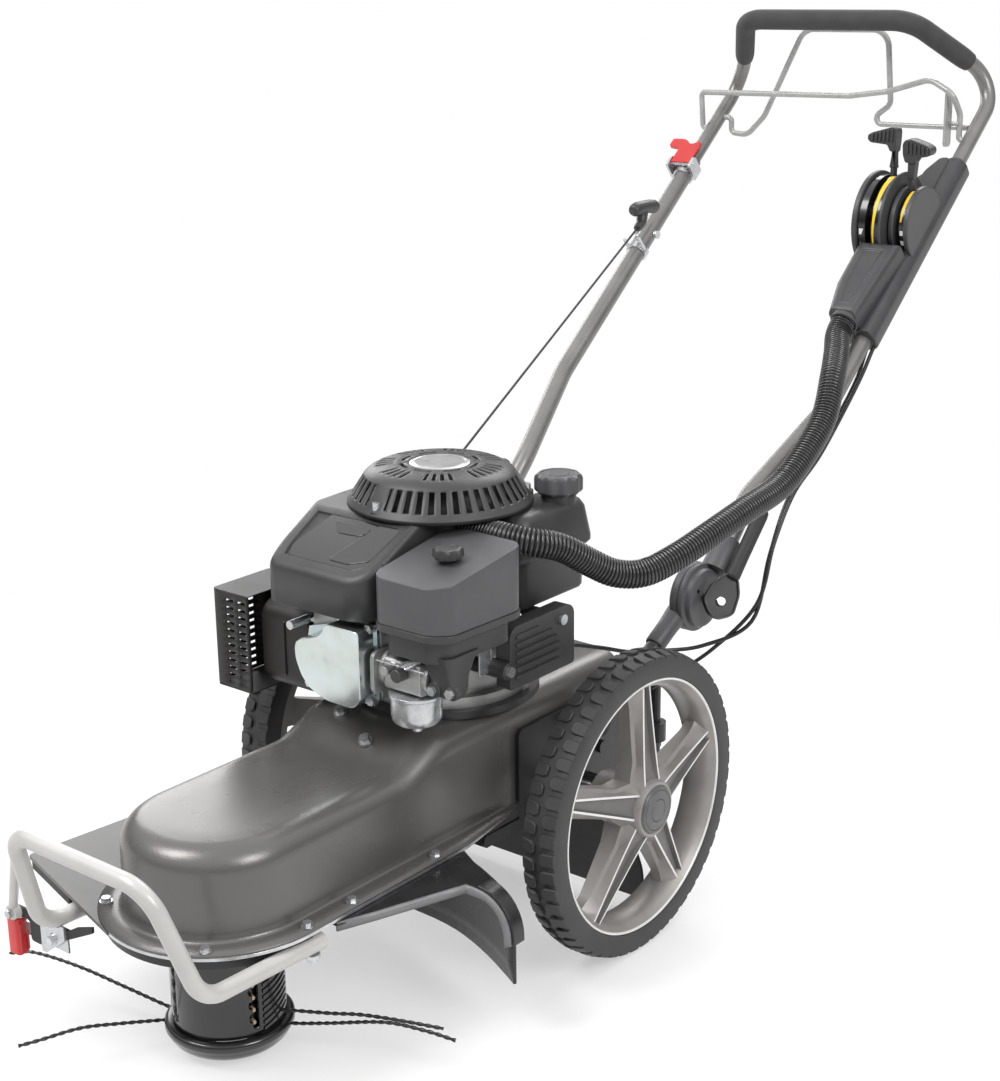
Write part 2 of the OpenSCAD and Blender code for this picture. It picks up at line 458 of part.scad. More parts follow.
// Belt drive inside the deck: crankshaft with flywheel and pulley, and the belt to the head
crank_r = crank_diameter / 2;
belt_span = head_distance - crank_forward;
module crankshaft() color("silver") placed() {
  at_engine() {
    translate([0, 0, pulley_z - seat_z - 12]) cylinder(h = seat_z - pulley_z + 196, r = crank_r);
    translate([0, 0, 150]) cylinder(h = 34, r = 50);
  }
  translate([0, crank_y, 0]) pulley(crank_pulley_r, pulley_z);
}
belt_r = 3.6;
module belt_plan(grow) {
  ra = head_pulley_r - 6.6 + grow; rb = crank_pulley_r - 6.6 + grow;
  k = asin((ra - rb) / belt_span);
  translate([0, head_y]) circle(ra);
  translate([0, crank_y]) circle(rb);
  polygon([[ra * cos(k), head_y + ra * sin(k)], [rb * cos(k), crank_y + rb * sin(k)], [-rb * cos(k), crank_y + rb * sin(k)], [-ra * cos(k), head_y + ra * sin(k)]]);
}
module cutter_belt() color([0.05, 0.05, 0.05]) placed() translate([0, 0, pulley_z - 2.5]) linear_extrude(5) difference() { belt_plan(6); belt_plan(0); }

// Engine: block on its ring, valve cover, shroud, starter cover, tank, air filter, carburettor, muffler and covers
module engine_block() color([0.62, 0.62, 0.63]) placed() at_engine() difference() {
  union() {
    translate([0, 0, 8]) cylinder(h = 12, r = 98);
    translate([0, 0, 19]) cylinder(h = 102, r = 86);
    ybox(-56, 44, -152, 0, 36, 124, 10);
    for (z = [46 : 12 : 118]) ybox(-64, 44, -150, -84, z, z + 3, 1);
    for (a = [20, 110, 200, 290]) rotate([0, 0, a]) translate([94, 0, 8]) cylinder(h = 22, r = 9);
    translate([0, 0, 120]) cylinder(h = 20, r = 40);
  }
  translate([0, 0, -1]) cylinder(h = 200, r = crank_r + run_gap);
  translate([0, 0, 7]) cylinder(h = 8, r = 40);
}
module valve_cover() color([0.72, 0.76, 0.78]) placed() at_engine() difference() {
  union() {
    ybox(-62, 43.8, -158, -152.05, 32, 128, 8);
    ybox(-54, 36, -184, -157.99, 40, 122, 18);
  }
  ybox(-80, -36, -200, -166, 102, 140, 12);
}
shroud_z0 = 133;
starter_z = 222;
shroud_z1 = starter_z - 0.1;
module shroud_plan(g) {
  polygon([[-104 + g, -166], [-90 + g, -182 + g], [24 - g, -182 + g], [44 - g, -168], [48 - g, -60], [84 - g, -36], [84 - g, 34 - g], [60 - g, 104 - g], [-50 + g, 112 - g], [-100 + g, 70 - g], [-112 + g, 0]]);
  circle(112 - g);
}
module shroud_cut(d) { translate([-200, 0, 0]) rotate([90, 0, 90]) linear_extrude(400) polygon([[-220, 100], [-220, 170 - d], [-180, 178 - d], [-96, shroud_z1 - d], [140, shroud_z1 - d], [140, 100]]); }
module filter_keep(g) { zbox(50.5 - g, 200, -260, -44 + g, 90, 260, 1); }
module tank_keep(g) { zbox(58 - g, 200, -47, 140, 90, 260, 1); }
module engine_shroud() color([0.1, 0.1, 0.1]) placed() at_engine() difference() {
  intersection() { translate([0, 0, shroud_z0]) linear_extrude(120) shroud_plan(0); shroud_cut(0); }
  difference() {
    intersection() { translate([0, 0, shroud_z0 - 1]) linear_extrude(120) shroud_plan(3); shroud_cut(3); }
    filter_keep(3);
    tank_keep(3);
  }
  difference() { translate([0, 0, 200]) cylinder(h = 60, r = 88); tank_keep(3); filter_keep(3); }
  filter_keep(0);
  tank_keep(0);
}
starter_r = starter_diameter / 2;
starter_screws = [265, 40, 152];
module starter_shell(g) { rotate_extrude($fn = 72) polygon([[0, starter_z - 1], [starter_r - g, starter_z - 1], [starter_r - g, starter_z + 4], [starter_r - 6 - g, starter_z + 12], [starter_r - 20 - g, starter_z + starter_height - 12 - g], [starter_r - 30 - g, starter_z + starter_height - 4 - g], [starter_r - 52, starter_z + starter_height - g], [0, starter_z + starter_height - g]]); }
module starter_cover() color([0.09, 0.09, 0.09]) placed() at_engine() difference() {
  union() {
    intersection() { difference() { starter_shell(0); starter_shell(3); } translate([-200, -200, starter_z]) cube([400, 400, 100]); }
    for (a = starter_screws) rotate([0, 0, a]) translate([starter_r - 9, 0, starter_z]) cylinder(h = 7.9, r = 8);
  }
  for (a = starter_screws) rotate([0, 0, a]) translate([starter_r - 9, 0, starter_z + 7.9]) cylinder(h = 40, r = 6.2);
  for (k = [0 : 35]) if (min([for (a = starter_screws) abs(a - 10 * k)]) > 8) rotate([0, 0, 10 * k]) translate([starter_r - 30, -2, starter_z + 10]) cube([40, 4, 16]);
  for (k = [0 : 19]) rotate([0, 0, 18 * k]) translate([44, -2, starter_z + starter_height - 12]) cube([22, 4, 20]);
  rod([-60, 100, starter_z + 17], [-30, 40, starter_z + 17], rope_diameter / 2 + 2.2);
}
tank_x = 95;
tank_y = 94;
module fuel_tank() color([0.09, 0.09, 0.09]) placed() at_engine() difference() {
  union() {
    zbox(58.5, 122, -6, 130, 112, 170, 14);
    zbox(58.5, 118, 2, 126, 169.99, starter_z - 4, 16);
    translate([tank_x, tank_y, starter_z - 5]) cylinder(h = 12, r = 20);
  }
  translate([0, 0, 100]) cylinder(h = 200, r = 90);
  zbox(72, 118, 60, 126, 116, 166, 10);
  translate([tank_x, tank_y, 160]) cylinder(h = 100, r = 15);
}
cap_z = starter_z + 4;
module fuel_cap() color([0.14, 0.14, 0.15]) placed() at_engine() translate([tank_x, tank_y, cap_z]) difference() {
  union() {
    cylinder(h = 22, r = fuel_cap_diameter / 2 - 2);
    for (k = [0 : 7]) rotate([0, 0, 45 * k]) translate([fuel_cap_diameter / 2 - 5, 0, 2]) cylinder(h = 20, r = 5);
  }
  translate([0, 0, -1]) cylinder(h = 15, r = 20 + run_gap * 4);
}
fx0 = 54;
fx1 = fx0 + filter_width;
module filter_plan(g) { polygon([[fx0 + g, -168 + g], [fx0 + 12 + g, -180 + g], [fx1 - 24, -180 + g], [fx1 - 4 - g, -164], [fx1 - g, -60], [fx1 - 8 - g, -48 - g], [fx0 + 20, -46 - g], [fx0 + g, -56 - g]]); }
module air_filter_base() color([0.07, 0.07, 0.07]) placed() at_engine() difference() {
  union() {
    translate([0, 0, 124]) linear_extrude(16) filter_plan(2);
    translate([0, 0, 104]) linear_extrude(20.01) filter_plan(9);
    zbox(fx1 - 42, fx1 - 10, -156, -132, 66, 105, 6);
    zbox(fx1 - 40, fx1 - 30, -160, -128, 62, 80, 3);
  }
  translate([0, 0, 112]) linear_extrude(40) filter_plan(14);
}
knob_x = 112;
knob_y = -119;
function filter_top(y) = 190 + 22 * (y + 180) / 132;
module filter_block(g, z0) intersection() {
  translate([0, 0, z0]) linear_extrude(120) filter_plan(g);
  translate([0, 0, 0]) rotate([90, 0, 90]) linear_extrude(300) polygon([[-200, z0], [-200, filter_top(-200) - g], [-30, filter_top(-30) - g], [-30, z0]]);
}
module air_filter_cover() color([0.16, 0.16, 0.17]) placed() at_engine() difference() {
  union() { filter_block(0, 140); translate([knob_x, knob_y, 150]) cylinder(h = filter_top(knob_y) - 148, r = 20); }
  filter_block(3, 138);
  translate([knob_x, knob_y, 140]) cylinder(h = 100, r = 6 + run_gap);
}
module filter_knob() color([0.1, 0.1, 0.1]) placed() at_engine() translate([knob_x, knob_y, filter_top(knob_y) + 3.6 + face_gap]) {
  cylinder(h = 12, r = 15);
  for (k = [0 : 6]) rotate([0, 0, 51.43 * k]) translate([13.5, 0, 0]) cylinder(h = 11, r = 4);
  translate([0, 0, -24]) cylinder(h = 24.01, r = 6);
}
module carburettor() color([0.68, 0.68, 0.69]) placed() at_engine() difference() {
  union() {
    xbox(50, 112, -164, -126, 58, 96, 6);
    xrod(44.1, 115.5, -145, 78, 15);
    translate([86, -145, 24]) cylinder(h = 34.01, r = 28);
    translate([86, -145, 20]) cylinder(h = 5, r1 = 18, r2 = 27);
    translate([86, -145, 12]) cylinder(h = 9, r = 6, $fn = 6);
    xbox(44.1, 50, -172, -118, 50, 102, 4);
    zbox(70, 100, -162, -128, 90, 103.9, 4);
  }
  xrod(60, 130, -145, 78, 10);
}
module muffler() color([0.12, 0.11, 0.11]) placed() at_engine() {
  xbox(-146, -72, -146, -68, 12, 112, 22);
  xrod(-72.01, -64.1, -118, 74, 14);
}
module muffler_guard() color([0.11, 0.11, 0.11]) placed() at_engine() difference() {
  ybox(-208, -150, -162, -70, 0, 120, 7);
  ybox(-205.5, -140, -159, -60, 2.5, 117.5, 5);
  for (x = [-196, -172], k = [0 : 10]) translate([x, -170, 9 + 9.6 * k]) cube([15, 12, 3.6]);
  for (k = [0 : 8]) translate([-210, -140, 14 + 10.5 * k]) cube([6, 50, 4]);
}
module linkage_cover() color([0.06, 0.06, 0.06]) placed() at_engine() {
  difference() {
    xbox(120, 140, -52, 64, 40, 112, 6);
    xbox(110, 137, -49, 61, 43, 109, 4);
  }
  for (k = [0 : 4]) xbox(139.99, 142, -40, 34, 52 + 9 * k, 56 + 9 * k, 1.5);
  xrod(86, 137, -34, 58, 7);
  xrod(84, 137, 40, 98, 7);
  xrod(82, 140, -54, 64, 10);
}
module engine_screws() color("lightgray") placed() at_engine() {
  for (a = starter_screws) rotate([0, 0, a]) translate([starter_r - 9, 0, starter_z + 8]) cylinder(h = 9, r = 5.5);
  for (p = [[37, 122], [37, 40], [-55, 40]]) translate([p[0], -158, p[1]]) rotate([90, 0, 0]) cylinder(h = 8, r = 5.5, $fn = 6);
  for (p = [[fx1 - 35, -160], [fx1 - 14, -156]]) translate([p[0], p[1], 72]) rotate([90, 0, 0]) cylinder(h = 5, r = 5.5, $fn = 6);
  xrod(140, 144, -54, 64, 6);
  xrod(140, 144, 40, 98, 6);
  for (a = [20, 110, 200, 290]) rotate([0, 0, a]) translate([94, 0, 30]) cylinder(h = 6, r = 6, $fn = 6);
  translate([-59.5, -158, 112]) rotate([90, 0, 0]) cylinder(h = 28, r = 5);
}

// Pivots: toothed base discs on bent posts, upper discs with sleeves, and a clamp lever on each side
disc_r = pivot_diameter / 2;
disc_t = 14;
disc_x = pivot_x - 8;
post_dir = unit([0, -78, -44]);
post_path = [[disc_x - 8, pivot_y, pivot_z] + 30 * post_dir, [disc_x - 8, pivot_y, pivot_z] + 118 * post_dir, [side_x + side_t + 12, 62, seat_z - 62]];
module pivot_base() {
  difference() {
    union() {
      xrod(disc_x - 15, disc_x - 1 - face_gap / 2, pivot_y, pivot_z, disc_r);
      rod([disc_x - 8, pivot_y, pivot_z], [disc_x - 8, pivot_y, pivot_z] + 88 * post_dir, 12.5);
    }
    xrod(disc_x - 1 - face_gap / 2, disc_x + 40, pivot_y, pivot_z, disc_r + 1.5);
    rod([disc_x - 8, pivot_y, pivot_z] + 46 * post_dir, [disc_x - 8, pivot_y, pivot_z] + 100 * post_dir, 9.5);
  }
  rod([disc_x - 8, pivot_y, pivot_z] + 46 * post_dir, post_path[1] - 14 * post_dir, 9.5);
  bent([post_path[1] - 30 * post_dir, post_path[1], post_path[2]], 40, 9.5);
  xrod(side_x + side_t, side_x + side_t + 26, 62, seat_z - 62, 16);
  xrod(disc_x - 18, disc_x + 44, pivot_y, pivot_z, 5);
}
module pivot_bases() color([0.08, 0.08, 0.08]) placed() both() pivot_base();
up_dir = unit([0, knee_y - pivot_y, knee_z - pivot_z]);
module pivot_upper() difference() {
  union() {
    xrod(disc_x - 1 + face_gap / 2, disc_x + 15, pivot_y, pivot_z, disc_r);
    rod([pivot_x, pivot_y, pivot_z] + 38 * up_dir, [pivot_x, pivot_y, pivot_z] + 82 * up_dir, 17);
  }
  rod([pivot_x, pivot_y, pivot_z] + 40 * up_dir, [pivot_x, pivot_y, pivot_z] + 100 * up_dir, lower_tube / 2 + fit_gap);
  xrod(disc_x - 20, disc_x + 60, pivot_y, pivot_z, 5 + run_gap);
  translate([disc_x - 2, pivot_y, pivot_z]) rotate([0, 90, 0]) cylinder(h = 1 + face_gap / 2, r = disc_r + 20);
  xrod(disc_x - 12, disc_x - 1 + face_gap / 2, pivot_y, pivot_z, disc_r + 60);
}
module pivot_uppers() color([0.09, 0.09, 0.09]) placed() both() pivot_upper();
clamp_x = disc_x + 15 + face_gap;
clamp_tilt = 45;
module clamp_lever() {
  difference() {
    translate([clamp_x + 19, pivot_y, pivot_z]) rotate([atan2(up_dir[2], up_dir[1]), 0, 0]) rotate([0, -clamp_tilt, 0]) translate([-4.4, 0, 0]) rotate([90, 0, 90])
      linear_extrude(8.8) polygon([[-21, -7], [-8, -21], [18, -18], [36, -8], [36, 8], [18, 18], [-8, 21], [-21, 7]]);
    xrod(clamp_x - 1, clamp_x + 60, pivot_y, pivot_z, 5 + run_gap);
  }
  rod([clamp_x + 20, pivot_y, pivot_z] + 32 * up_dir, [clamp_x + 20, pivot_y, pivot_z] + 132 * up_dir, 9);
}
module clamp_lever_right() color([0.1, 0.1, 0.1]) placed() clamp_lever();
module clamp_lever_left() color([0.1, 0.1, 0.1]) placed() mirror([1, 0, 0]) clamp_lever();

// Handle tubes: lower pair with two bends, upper loop, foam grip
collar = on_s(collar_s, 0);
low_path = [[pivot_x, pivot_y, pivot_z] + 42 * up_dir, [pivot_x, knee_y, knee_z], [bend_x, bend_y, bend_z], [bend_x, collar[0], collar[1]]];
low_start = on_s(collar_s - 116, 0);
module handle_lower() color([0.38, 0.37, 0.37]) placed() both() difference() {
  bent(low_path, 80, lower_tube / 2);
  bent(longer(low_path, 4), 80, upper_tube / 2 + fit_gap);
  xrod(-300, 300, on_s(264, 0)[0], on_s(264, 0)[1], 3.1);
}
corner = [bend_x, handle_reach, handle_corner_height];
grip = [grip_half, grip_reach, grip_height];
up_path = [[bend_x, low_start[0], low_start[1]] + [0, cos(tube_angle), sin(tube_angle)], corner, grip, [-grip_half, grip_reach, grip_height], [-bend_x, handle_reach, handle_corner_height], [-bend_x, low_start[0], low_start[1]] + [0, cos(tube_angle), sin(tube_angle)]];
module handle_upper() color([0.38, 0.37, 0.37]) placed() difference() {
  bent(up_path, 44, upper_tube / 2);
  bent(longer(up_path, 4), 44, upper_tube / 2 - 2);
  xrod(bend_x - 20, bend_x, bail_a[0], bail_a[1], bail_rod / 2 + run_gap);
  xrod(-bend_x - 20, -bend_x, bail_a[0], bail_a[1], bail_rod / 2 + run_gap);
  xrod(bend_x - 20, bend_x, bail_b[0], bail_b[1], bail_rod / 2 + run_gap);
  xrod(-bend_x, -bend_x + 20, bail_b[0], bail_b[1], bail_rod / 2 + run_gap);
}
foam_in = corner + unit(grip - corner) * (cut_len(up_path, 1, 44) + 3);
foam_path = [foam_in, grip, [-grip_half, grip_reach, grip_height], [-foam_in[0], foam_in[1], foam_in[2]]];
module grip_foam() color([0.13, 0.13, 0.13]) placed() difference() {
  bent(foam_path, 44, grip_diameter / 2);
  bent([corner, grip, [-grip_half, grip_reach, grip_height], [-bend_x, handle_reach, handle_corner_height]], 44, upper_tube / 2 + fit_gap / 2);
}
latch_s = collar_s;
module handle_hardware() color("silver") placed() on_tube() {
  for (s = [-1]) {
    xrod(s * bend_x - lower_tube / 2 - 6, s * bend_x - lower_tube / 2, 264, 0, 7);
    xrod(s * bend_x + lower_tube / 2, s * bend_x + lower_tube / 2 + 5, 264, 0, 6);
    xrod(s * bend_x - lower_tube / 2 - 0.1, s * bend_x + lower_tube / 2 + 0.1, 264, 0, 3);
  }
  translate([-bend_x, 0, 0]) {
    rotate([-90, 0, 0]) translate([0, 0, 226]) difference() { cylinder(h = 10, r = lower_tube / 2 + 3); translate([0, 0, -1]) cylinder(h = 12, r = lower_tube / 2 + fit_gap); }
    bent([[14, 231, 4], [14, 231, 34], [14, 205, 34], [14, 205, 52]], 8, 2.5);
  }
  for (x = [-bend_x - 21, -bend_x + 17]) difference() {
    xbox(x, x + 4, latch_s - 34, latch_s - 14, -4, 24, 4);
    xrod(x - 1, x + 5, latch_s - 24, 18, 3 + run_gap);
  }
  translate([-bend_x, 0, 0]) rotate([-90, 0, 0]) translate([0, 0, latch_s - 34]) difference() { union() { cylinder(h = 20, r = lower_tube / 2 + 2.3); translate([-20, -5, 0]) cube([40, 10, 20]); } translate([0, 0, -1]) cylinder(h = 22, r = lower_tube / 2 + fit_gap); }
}
module handle_latch() color("red") placed() on_tube() {
  xrod(-bend_x - 22, -bend_x + 22, latch_s - 24, 18, 3);
  difference() {
    union() {
      xbox(-bend_x - 17 + face_gap, -bend_x + 17 - face_gap, latch_s - 26, latch_s + 14, 16.5, 23, 3);
      zbox(-bend_x - 36, -bend_x + 12, latch_s + 4, latch_s + 22, 19, 23, 4);
    }
  }
}

// Control box on the right tube with two quadrants and their levers
cb_s0 = 118;
cb_s1 = tube_len - 162;
lever_s = 300;
lever_n = 26;
lev_a = bend_x - 33;
lev_b = bend_x - 2;
hose_x = bend_x - 17;
hose_n = 31;
module sector(r, a0, a1) { polygon(concat([[0, 0]], [for (i = [0 : 6]) [r * cos(a0 + (a1 - a0) * i / 6), r * sin(a0 + (a1 - a0) * i / 6)]])); }
module control_box() color([0.09, 0.09, 0.09]) placed() on_tube() difference() {
  union() {
    translate([bend_x, 0, -17]) linear_extrude(34) polygon([[-34, cb_s0], [20, cb_s0], [20, cb_s1], [-16, cb_s1], [-30, cb_s1 - 28], [-55, cb_s1 - 56], [-55, 250], [-46, 236], [-40, cb_s0 + 44]]);
    translate([bend_x, 0, 16]) linear_extrude(34) polygon([[-38, cb_s0 + 4], [2, cb_s0 + 4], [12, 246], [-48, 246], [-48, cb_s0 + 54]]);
    xrod(bend_x - 55, bend_x - 13, lever_s, lever_n, 66);
    xrod(bend_x - 11, bend_x + 17, lever_s, lever_n, 49);
    xbox(bend_x - 1, bend_x + 20, 250, cb_s1, 0, 24, 8);
    xbox(bend_x - 30, bend_x - 0.5, 330, cb_s1, 10, 22, 5);
  }
  translate([bend_x, 0, 0]) rotate([-90, 0, 0]) { translate([0, 0, 0]) cylinder(h = collar_s + 1, r = lower_tube / 2 + fit_gap); cylinder(h = 600, r = upper_tube / 2 + fit_gap); }
  translate([0, 0, -90]) xbox(bend_x - 100, bend_x + 60, 200, 400, -20, 73, 4);
  for (x = [lev_a, lev_b]) {
    translate([x - 4, lever_s, lever_n]) rotate([90, 0, 90]) linear_extrude(8) sector(110, 6, 140);
    translate([x - 4, 0, 0]) xrod(0, 8, lever_s, lever_n, 12);
    xrod(x - 9, x + 9, lever_s, lever_n, 4 + run_gap);
  }
  translate([hose_x, 0, hose_n]) rotate([-90, 0, 0]) translate([0, 0, cb_s0 - 5]) cylinder(h = 30, r = hose_diameter / 2 + 1.7);
}
module lever(x, len, ang, x0, x1) {
  translate([x, lever_s, lever_n]) rotate([ang, 0, 0]) {
    xrod(-8, 8, 0, 0, 4);
    xrod(-3, 3, 0, 0, 10);
    xbox(-3, 3, 0, len - 18, -5, 5, 2);
    xbox(x0, x1, len - 24, len + 8, -9, 11, 6);
  }
}
module throttle_lever() color([0.08, 0.08, 0.08]) placed() on_tube() lever(lev_a, 114, 47, -38, 4);
module gear_lever() color([0.08, 0.08, 0.08]) placed() on_tube() lever(lev_b, 102, 55, -11, 30);

// Bails: two bent rods that turn in holes in the upper tube
ba_x = bend_x - 16;
function near_a(x, dy, dz) = [x, bail_a[0] + dy, bail_a[1] + dz];
function near_b(x, dy, dz) = [x, bail_b[0] + dy, bail_b[1] + dz];
module bail_drive() color([0.75, 0.75, 0.74]) placed() {
  bent([near_a(bend_x - 2, 0, 0), near_a(ba_x, 0, 0), near_a(ba_x, 0, 34), near_a(ba_x - 3, -20, 62), near_a(ba_x - 41, -12, 80), near_a(84, -6, 62), near_a(24, -6, 54),
    near_a(-bend_x - 17, -6, 52), near_a(-bend_x - 17, 0, 0), near_a(-bend_x - 2, 0, 0)], [0, 5, 16, 18, 30, 60, 60, 6, 6, 0], bail_rod / 2);
  difference() {
    xbox(ba_x - 17, ba_x - 14, bail_a[0] - 14, bail_a[0] + 4, bail_a[1] - 9, bail_a[1] + 66, 6);
    xrod(ba_x - 20, ba_x, bail_a[0] - 6, bail_a[1] + 58, 3);
  }
  xrod(ba_x - 16, ba_x, bail_a[0] - 3, bail_a[1] + 22, 3);
}
stop_rise = grip_height - bail_b[1] - grip_diameter / 2;
module bail_stop() color([0.75, 0.75, 0.74]) placed()
  bent([near_b(bend_x - 2, 0, 0), near_b(38, 0, 0), near_b(75, 0, 27), near_b(70, -8, stop_rise), near_b(-62, -8, stop_rise), near_b(-128, 0, 4), near_b(-156, 0, -24), near_b(-bend_x + 21, 0, -22),
    near_b(-bend_x + 21, 0, 0), near_b(-bend_x + 2, 0, 0)], [0, 8, 14, 24, 28, 30, 20, 8, 7, 0], bail_rod / 2);

// Recoil handle on its hook and the rope down to the starter
rec = on_s(250, 40);
rope_dir = unit([-48, 90 + crank_y, starter_z + 17 + seat_z] - [-bend_x + 15, rec[0], rec[1]]);
rope_top = [-bend_x + 15, rec[0], rec[1]];
rope_end = [-47, crank_y + 76, seat_z + starter_z + 17];
module recoil_handle() color([0.05, 0.05, 0.05]) placed() {
  d = unit(rope_end - rope_top);
  difference() {
    union() {
      rod(rope_top + [0, -16, 20], rope_top + [0, 22, -14] + [0, 4, 34], 10);
      rod(rope_top + [0, 2, 12], rope_top + 22 * d, 7);
    }
    rod(rope_top + 8 * d, rope_top + 60 * d, rope_diameter / 2 + 0.3);
  }
}
module recoil_rope() color([0.1, 0.1, 0.1]) placed() cord(even([rope_top + 10 * unit(rope_end - rope_top), rope_end], 24), [0, 0, 1], rope_diameter / 2, 8);

// Ribbed conduit from the engine to the control box, one hollow form on a smooth route
hose_end = on_s(cb_s0 + 22, hose_n);
hose_mid = on_s(cb_s0 - 16, hose_n);
hose_pts = [[58.5, crank_y - 27, seat_z + 205], [88, crank_y - 27, seat_z + 205], [118, crank_y - 26, seat_z + 205], [143, crank_y - 14, seat_z + 201], [161, crank_y + 12, seat_z + 192], [176, crank_y + 44, seat_z + 170],
  [bend_x - 13, 0, seat_z + 154], [bend_x + 4, 32, seat_z + 150], [bend_x + 17, 76, seat_z + 160], [bend_x + 27, 128, seat_z + 175], [bend_x + 34, 188, seat_z + 190], [bend_x + 38, 258, seat_z + 203],
  [bend_x + 39, 308, seat_z + 227], [bend_x + 35, 364, seat_z + 264], [bend_x + 21, 408, seat_z + 304], [bend_x + 1, 458, seat_z + 338], [hose_x, hose_mid[0], hose_mid[1]], [hose_x, hose_end[0], hose_end[1]]];
module conduit_hose() color([0.07, 0.07, 0.07]) placed() {
  n = 8; m = 2 * hose_ribs + 1; q = 50;
  p = even(route(hose_pts, 8), m - 1);
  b = even(route(hose_pts, 8), q - 1);
  ref = [0.2, -0.5, 0.9];
  outer = [for (i = [0 : m - 1]) each ring_at(p, i, ref, hose_diameter / 2 - (i % 2 == 0 ? 1.6 : 0), n)];
  inner = [for (i = [0 : q - 1]) each ring_at(b, i, ref, hose_diameter / 2 - 4, n)];
  k = m * n;
  faces = concat(skin(0, m, n, false), skin(k, q, n, true),
    [for (j = [0 : n - 1]) [j, k + j, k + (j + 1) % n, (j + 1) % n]],
    [for (j = [0 : n - 1]) let (a = (m - 1) * n, c = k + (q - 1) * n) [a + j, a + (j + 1) % n, c + (j + 1) % n, c + j]]);
  polyhedron(points = concat(outer, inner), faces = [for (f = faces) [for (i = [len(f) - 1 : -1 : 0]) f[i]]], convexity = 10);
}
cable_top = on_s(cb_s0 - 1, -10);
cable_mid = on_s(60, -16);
module control_cables() color([0.06, 0.06, 0.06]) placed() {
  cord(even(route([[bend_x + 13, cable_top[0], cable_top[1]], [bend_x + 14, cable_mid[0], cable_mid[1]], [bend_x + 15, 400, bend_z - 44], [bend_x + 12, 340, bend_z - 84], [bend_x + 6, 296, bend_z - 138], [bend_x - 6, 262, bend_z - 206], [168, 222, bend_z - 262], [132, 190, bend_z - 300], [side_x + 8, deck_tail + 30, bend_z - 320]], 6), 44), [1, 0, 0], cable_diameter / 2, 8);
  cord(even(route([[bend_x + 2, on_s(cb_s0 - 1, -15)[0], on_s(cb_s0 - 1, -15)[1]], [bend_x + 6, on_s(60, -22)[0], on_s(60, -22)[1]], [bend_x + 8, 394, bend_z - 52], [bend_x + 5, 334, bend_z - 92], [bend_x - 2, 290, bend_z - 152], [bend_x - 14, 254, bend_z - 226], [166, 214, bend_z - 253], [136, 174, bend_z - 258], [122, 128, bend_z - 249], [112, 84, bend_z - 233], [100, 40, bend_z - 219], [84, crank_y + 52, bend_z - 208]], 6), 44), [1, 0, 0], cable_diameter / 2, 8);
}

deck_shell();
deck_base_plate();
deck_bolts();
mount_ring();
front_bumper();
guard_plate();
guard_skirt();
line_knife();
knife_cover();
debris_shield();
chassis_frame();
rear_flap();
axle();
gearbox();
spindle_housing();
engine_block();
valve_cover();
engine_shroud();
starter_cover();
fuel_tank();
air_filter_base();
air_filter_cover();
carburettor();
muffler();
muffler_guard();
linkage_cover();
engine_screws();
pivot_bases();
tyre_right();
rim_right();
hub_cap_right();
tyre_left();
rim_left();
hub_cap_left();
spindle();
head_drum();
head_dome();
trimmer_lines();
crankshaft();
cutter_belt();
pivot_uppers();
handle_lower();
handle_upper();
grip_foam();
handle_hardware();
control_box();
throttle_lever();
gear_lever();
clamp_lever_right();
clamp_lever_left();
bail_drive();
bail_stop();
handle_latch();
recoil_handle();
fuel_cap();
filter_knob();
conduit_hose();
control_cables();
recoil_rope();
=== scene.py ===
# Wheeled string trimmer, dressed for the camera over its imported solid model.
import math
import bpy
import bmesh
from mathutils import Matrix, Vector


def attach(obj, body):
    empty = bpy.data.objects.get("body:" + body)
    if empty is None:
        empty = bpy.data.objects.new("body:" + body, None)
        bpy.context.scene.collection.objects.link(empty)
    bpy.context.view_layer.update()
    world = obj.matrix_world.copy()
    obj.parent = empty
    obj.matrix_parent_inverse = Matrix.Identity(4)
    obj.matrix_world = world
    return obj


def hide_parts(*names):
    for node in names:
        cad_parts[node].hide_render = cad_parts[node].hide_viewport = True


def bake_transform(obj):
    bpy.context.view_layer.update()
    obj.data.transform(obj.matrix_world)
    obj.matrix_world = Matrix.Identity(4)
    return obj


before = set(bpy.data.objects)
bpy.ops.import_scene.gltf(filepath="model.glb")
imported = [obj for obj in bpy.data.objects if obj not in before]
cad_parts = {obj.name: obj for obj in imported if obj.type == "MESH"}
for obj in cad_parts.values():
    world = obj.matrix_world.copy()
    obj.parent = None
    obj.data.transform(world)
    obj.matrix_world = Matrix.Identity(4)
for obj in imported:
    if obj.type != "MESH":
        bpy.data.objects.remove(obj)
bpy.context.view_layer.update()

# Deck shell. One long pressing of thick sheet steel with a round nose, a bolting flange and a ramp up to
# the engine seat. It is powder coated in a dark warm grey with a fine metallic grain, and hex flange
# bolts hold it down on the base plate.
axle_seat = Matrix.Translation((0, -0.12475, 0))


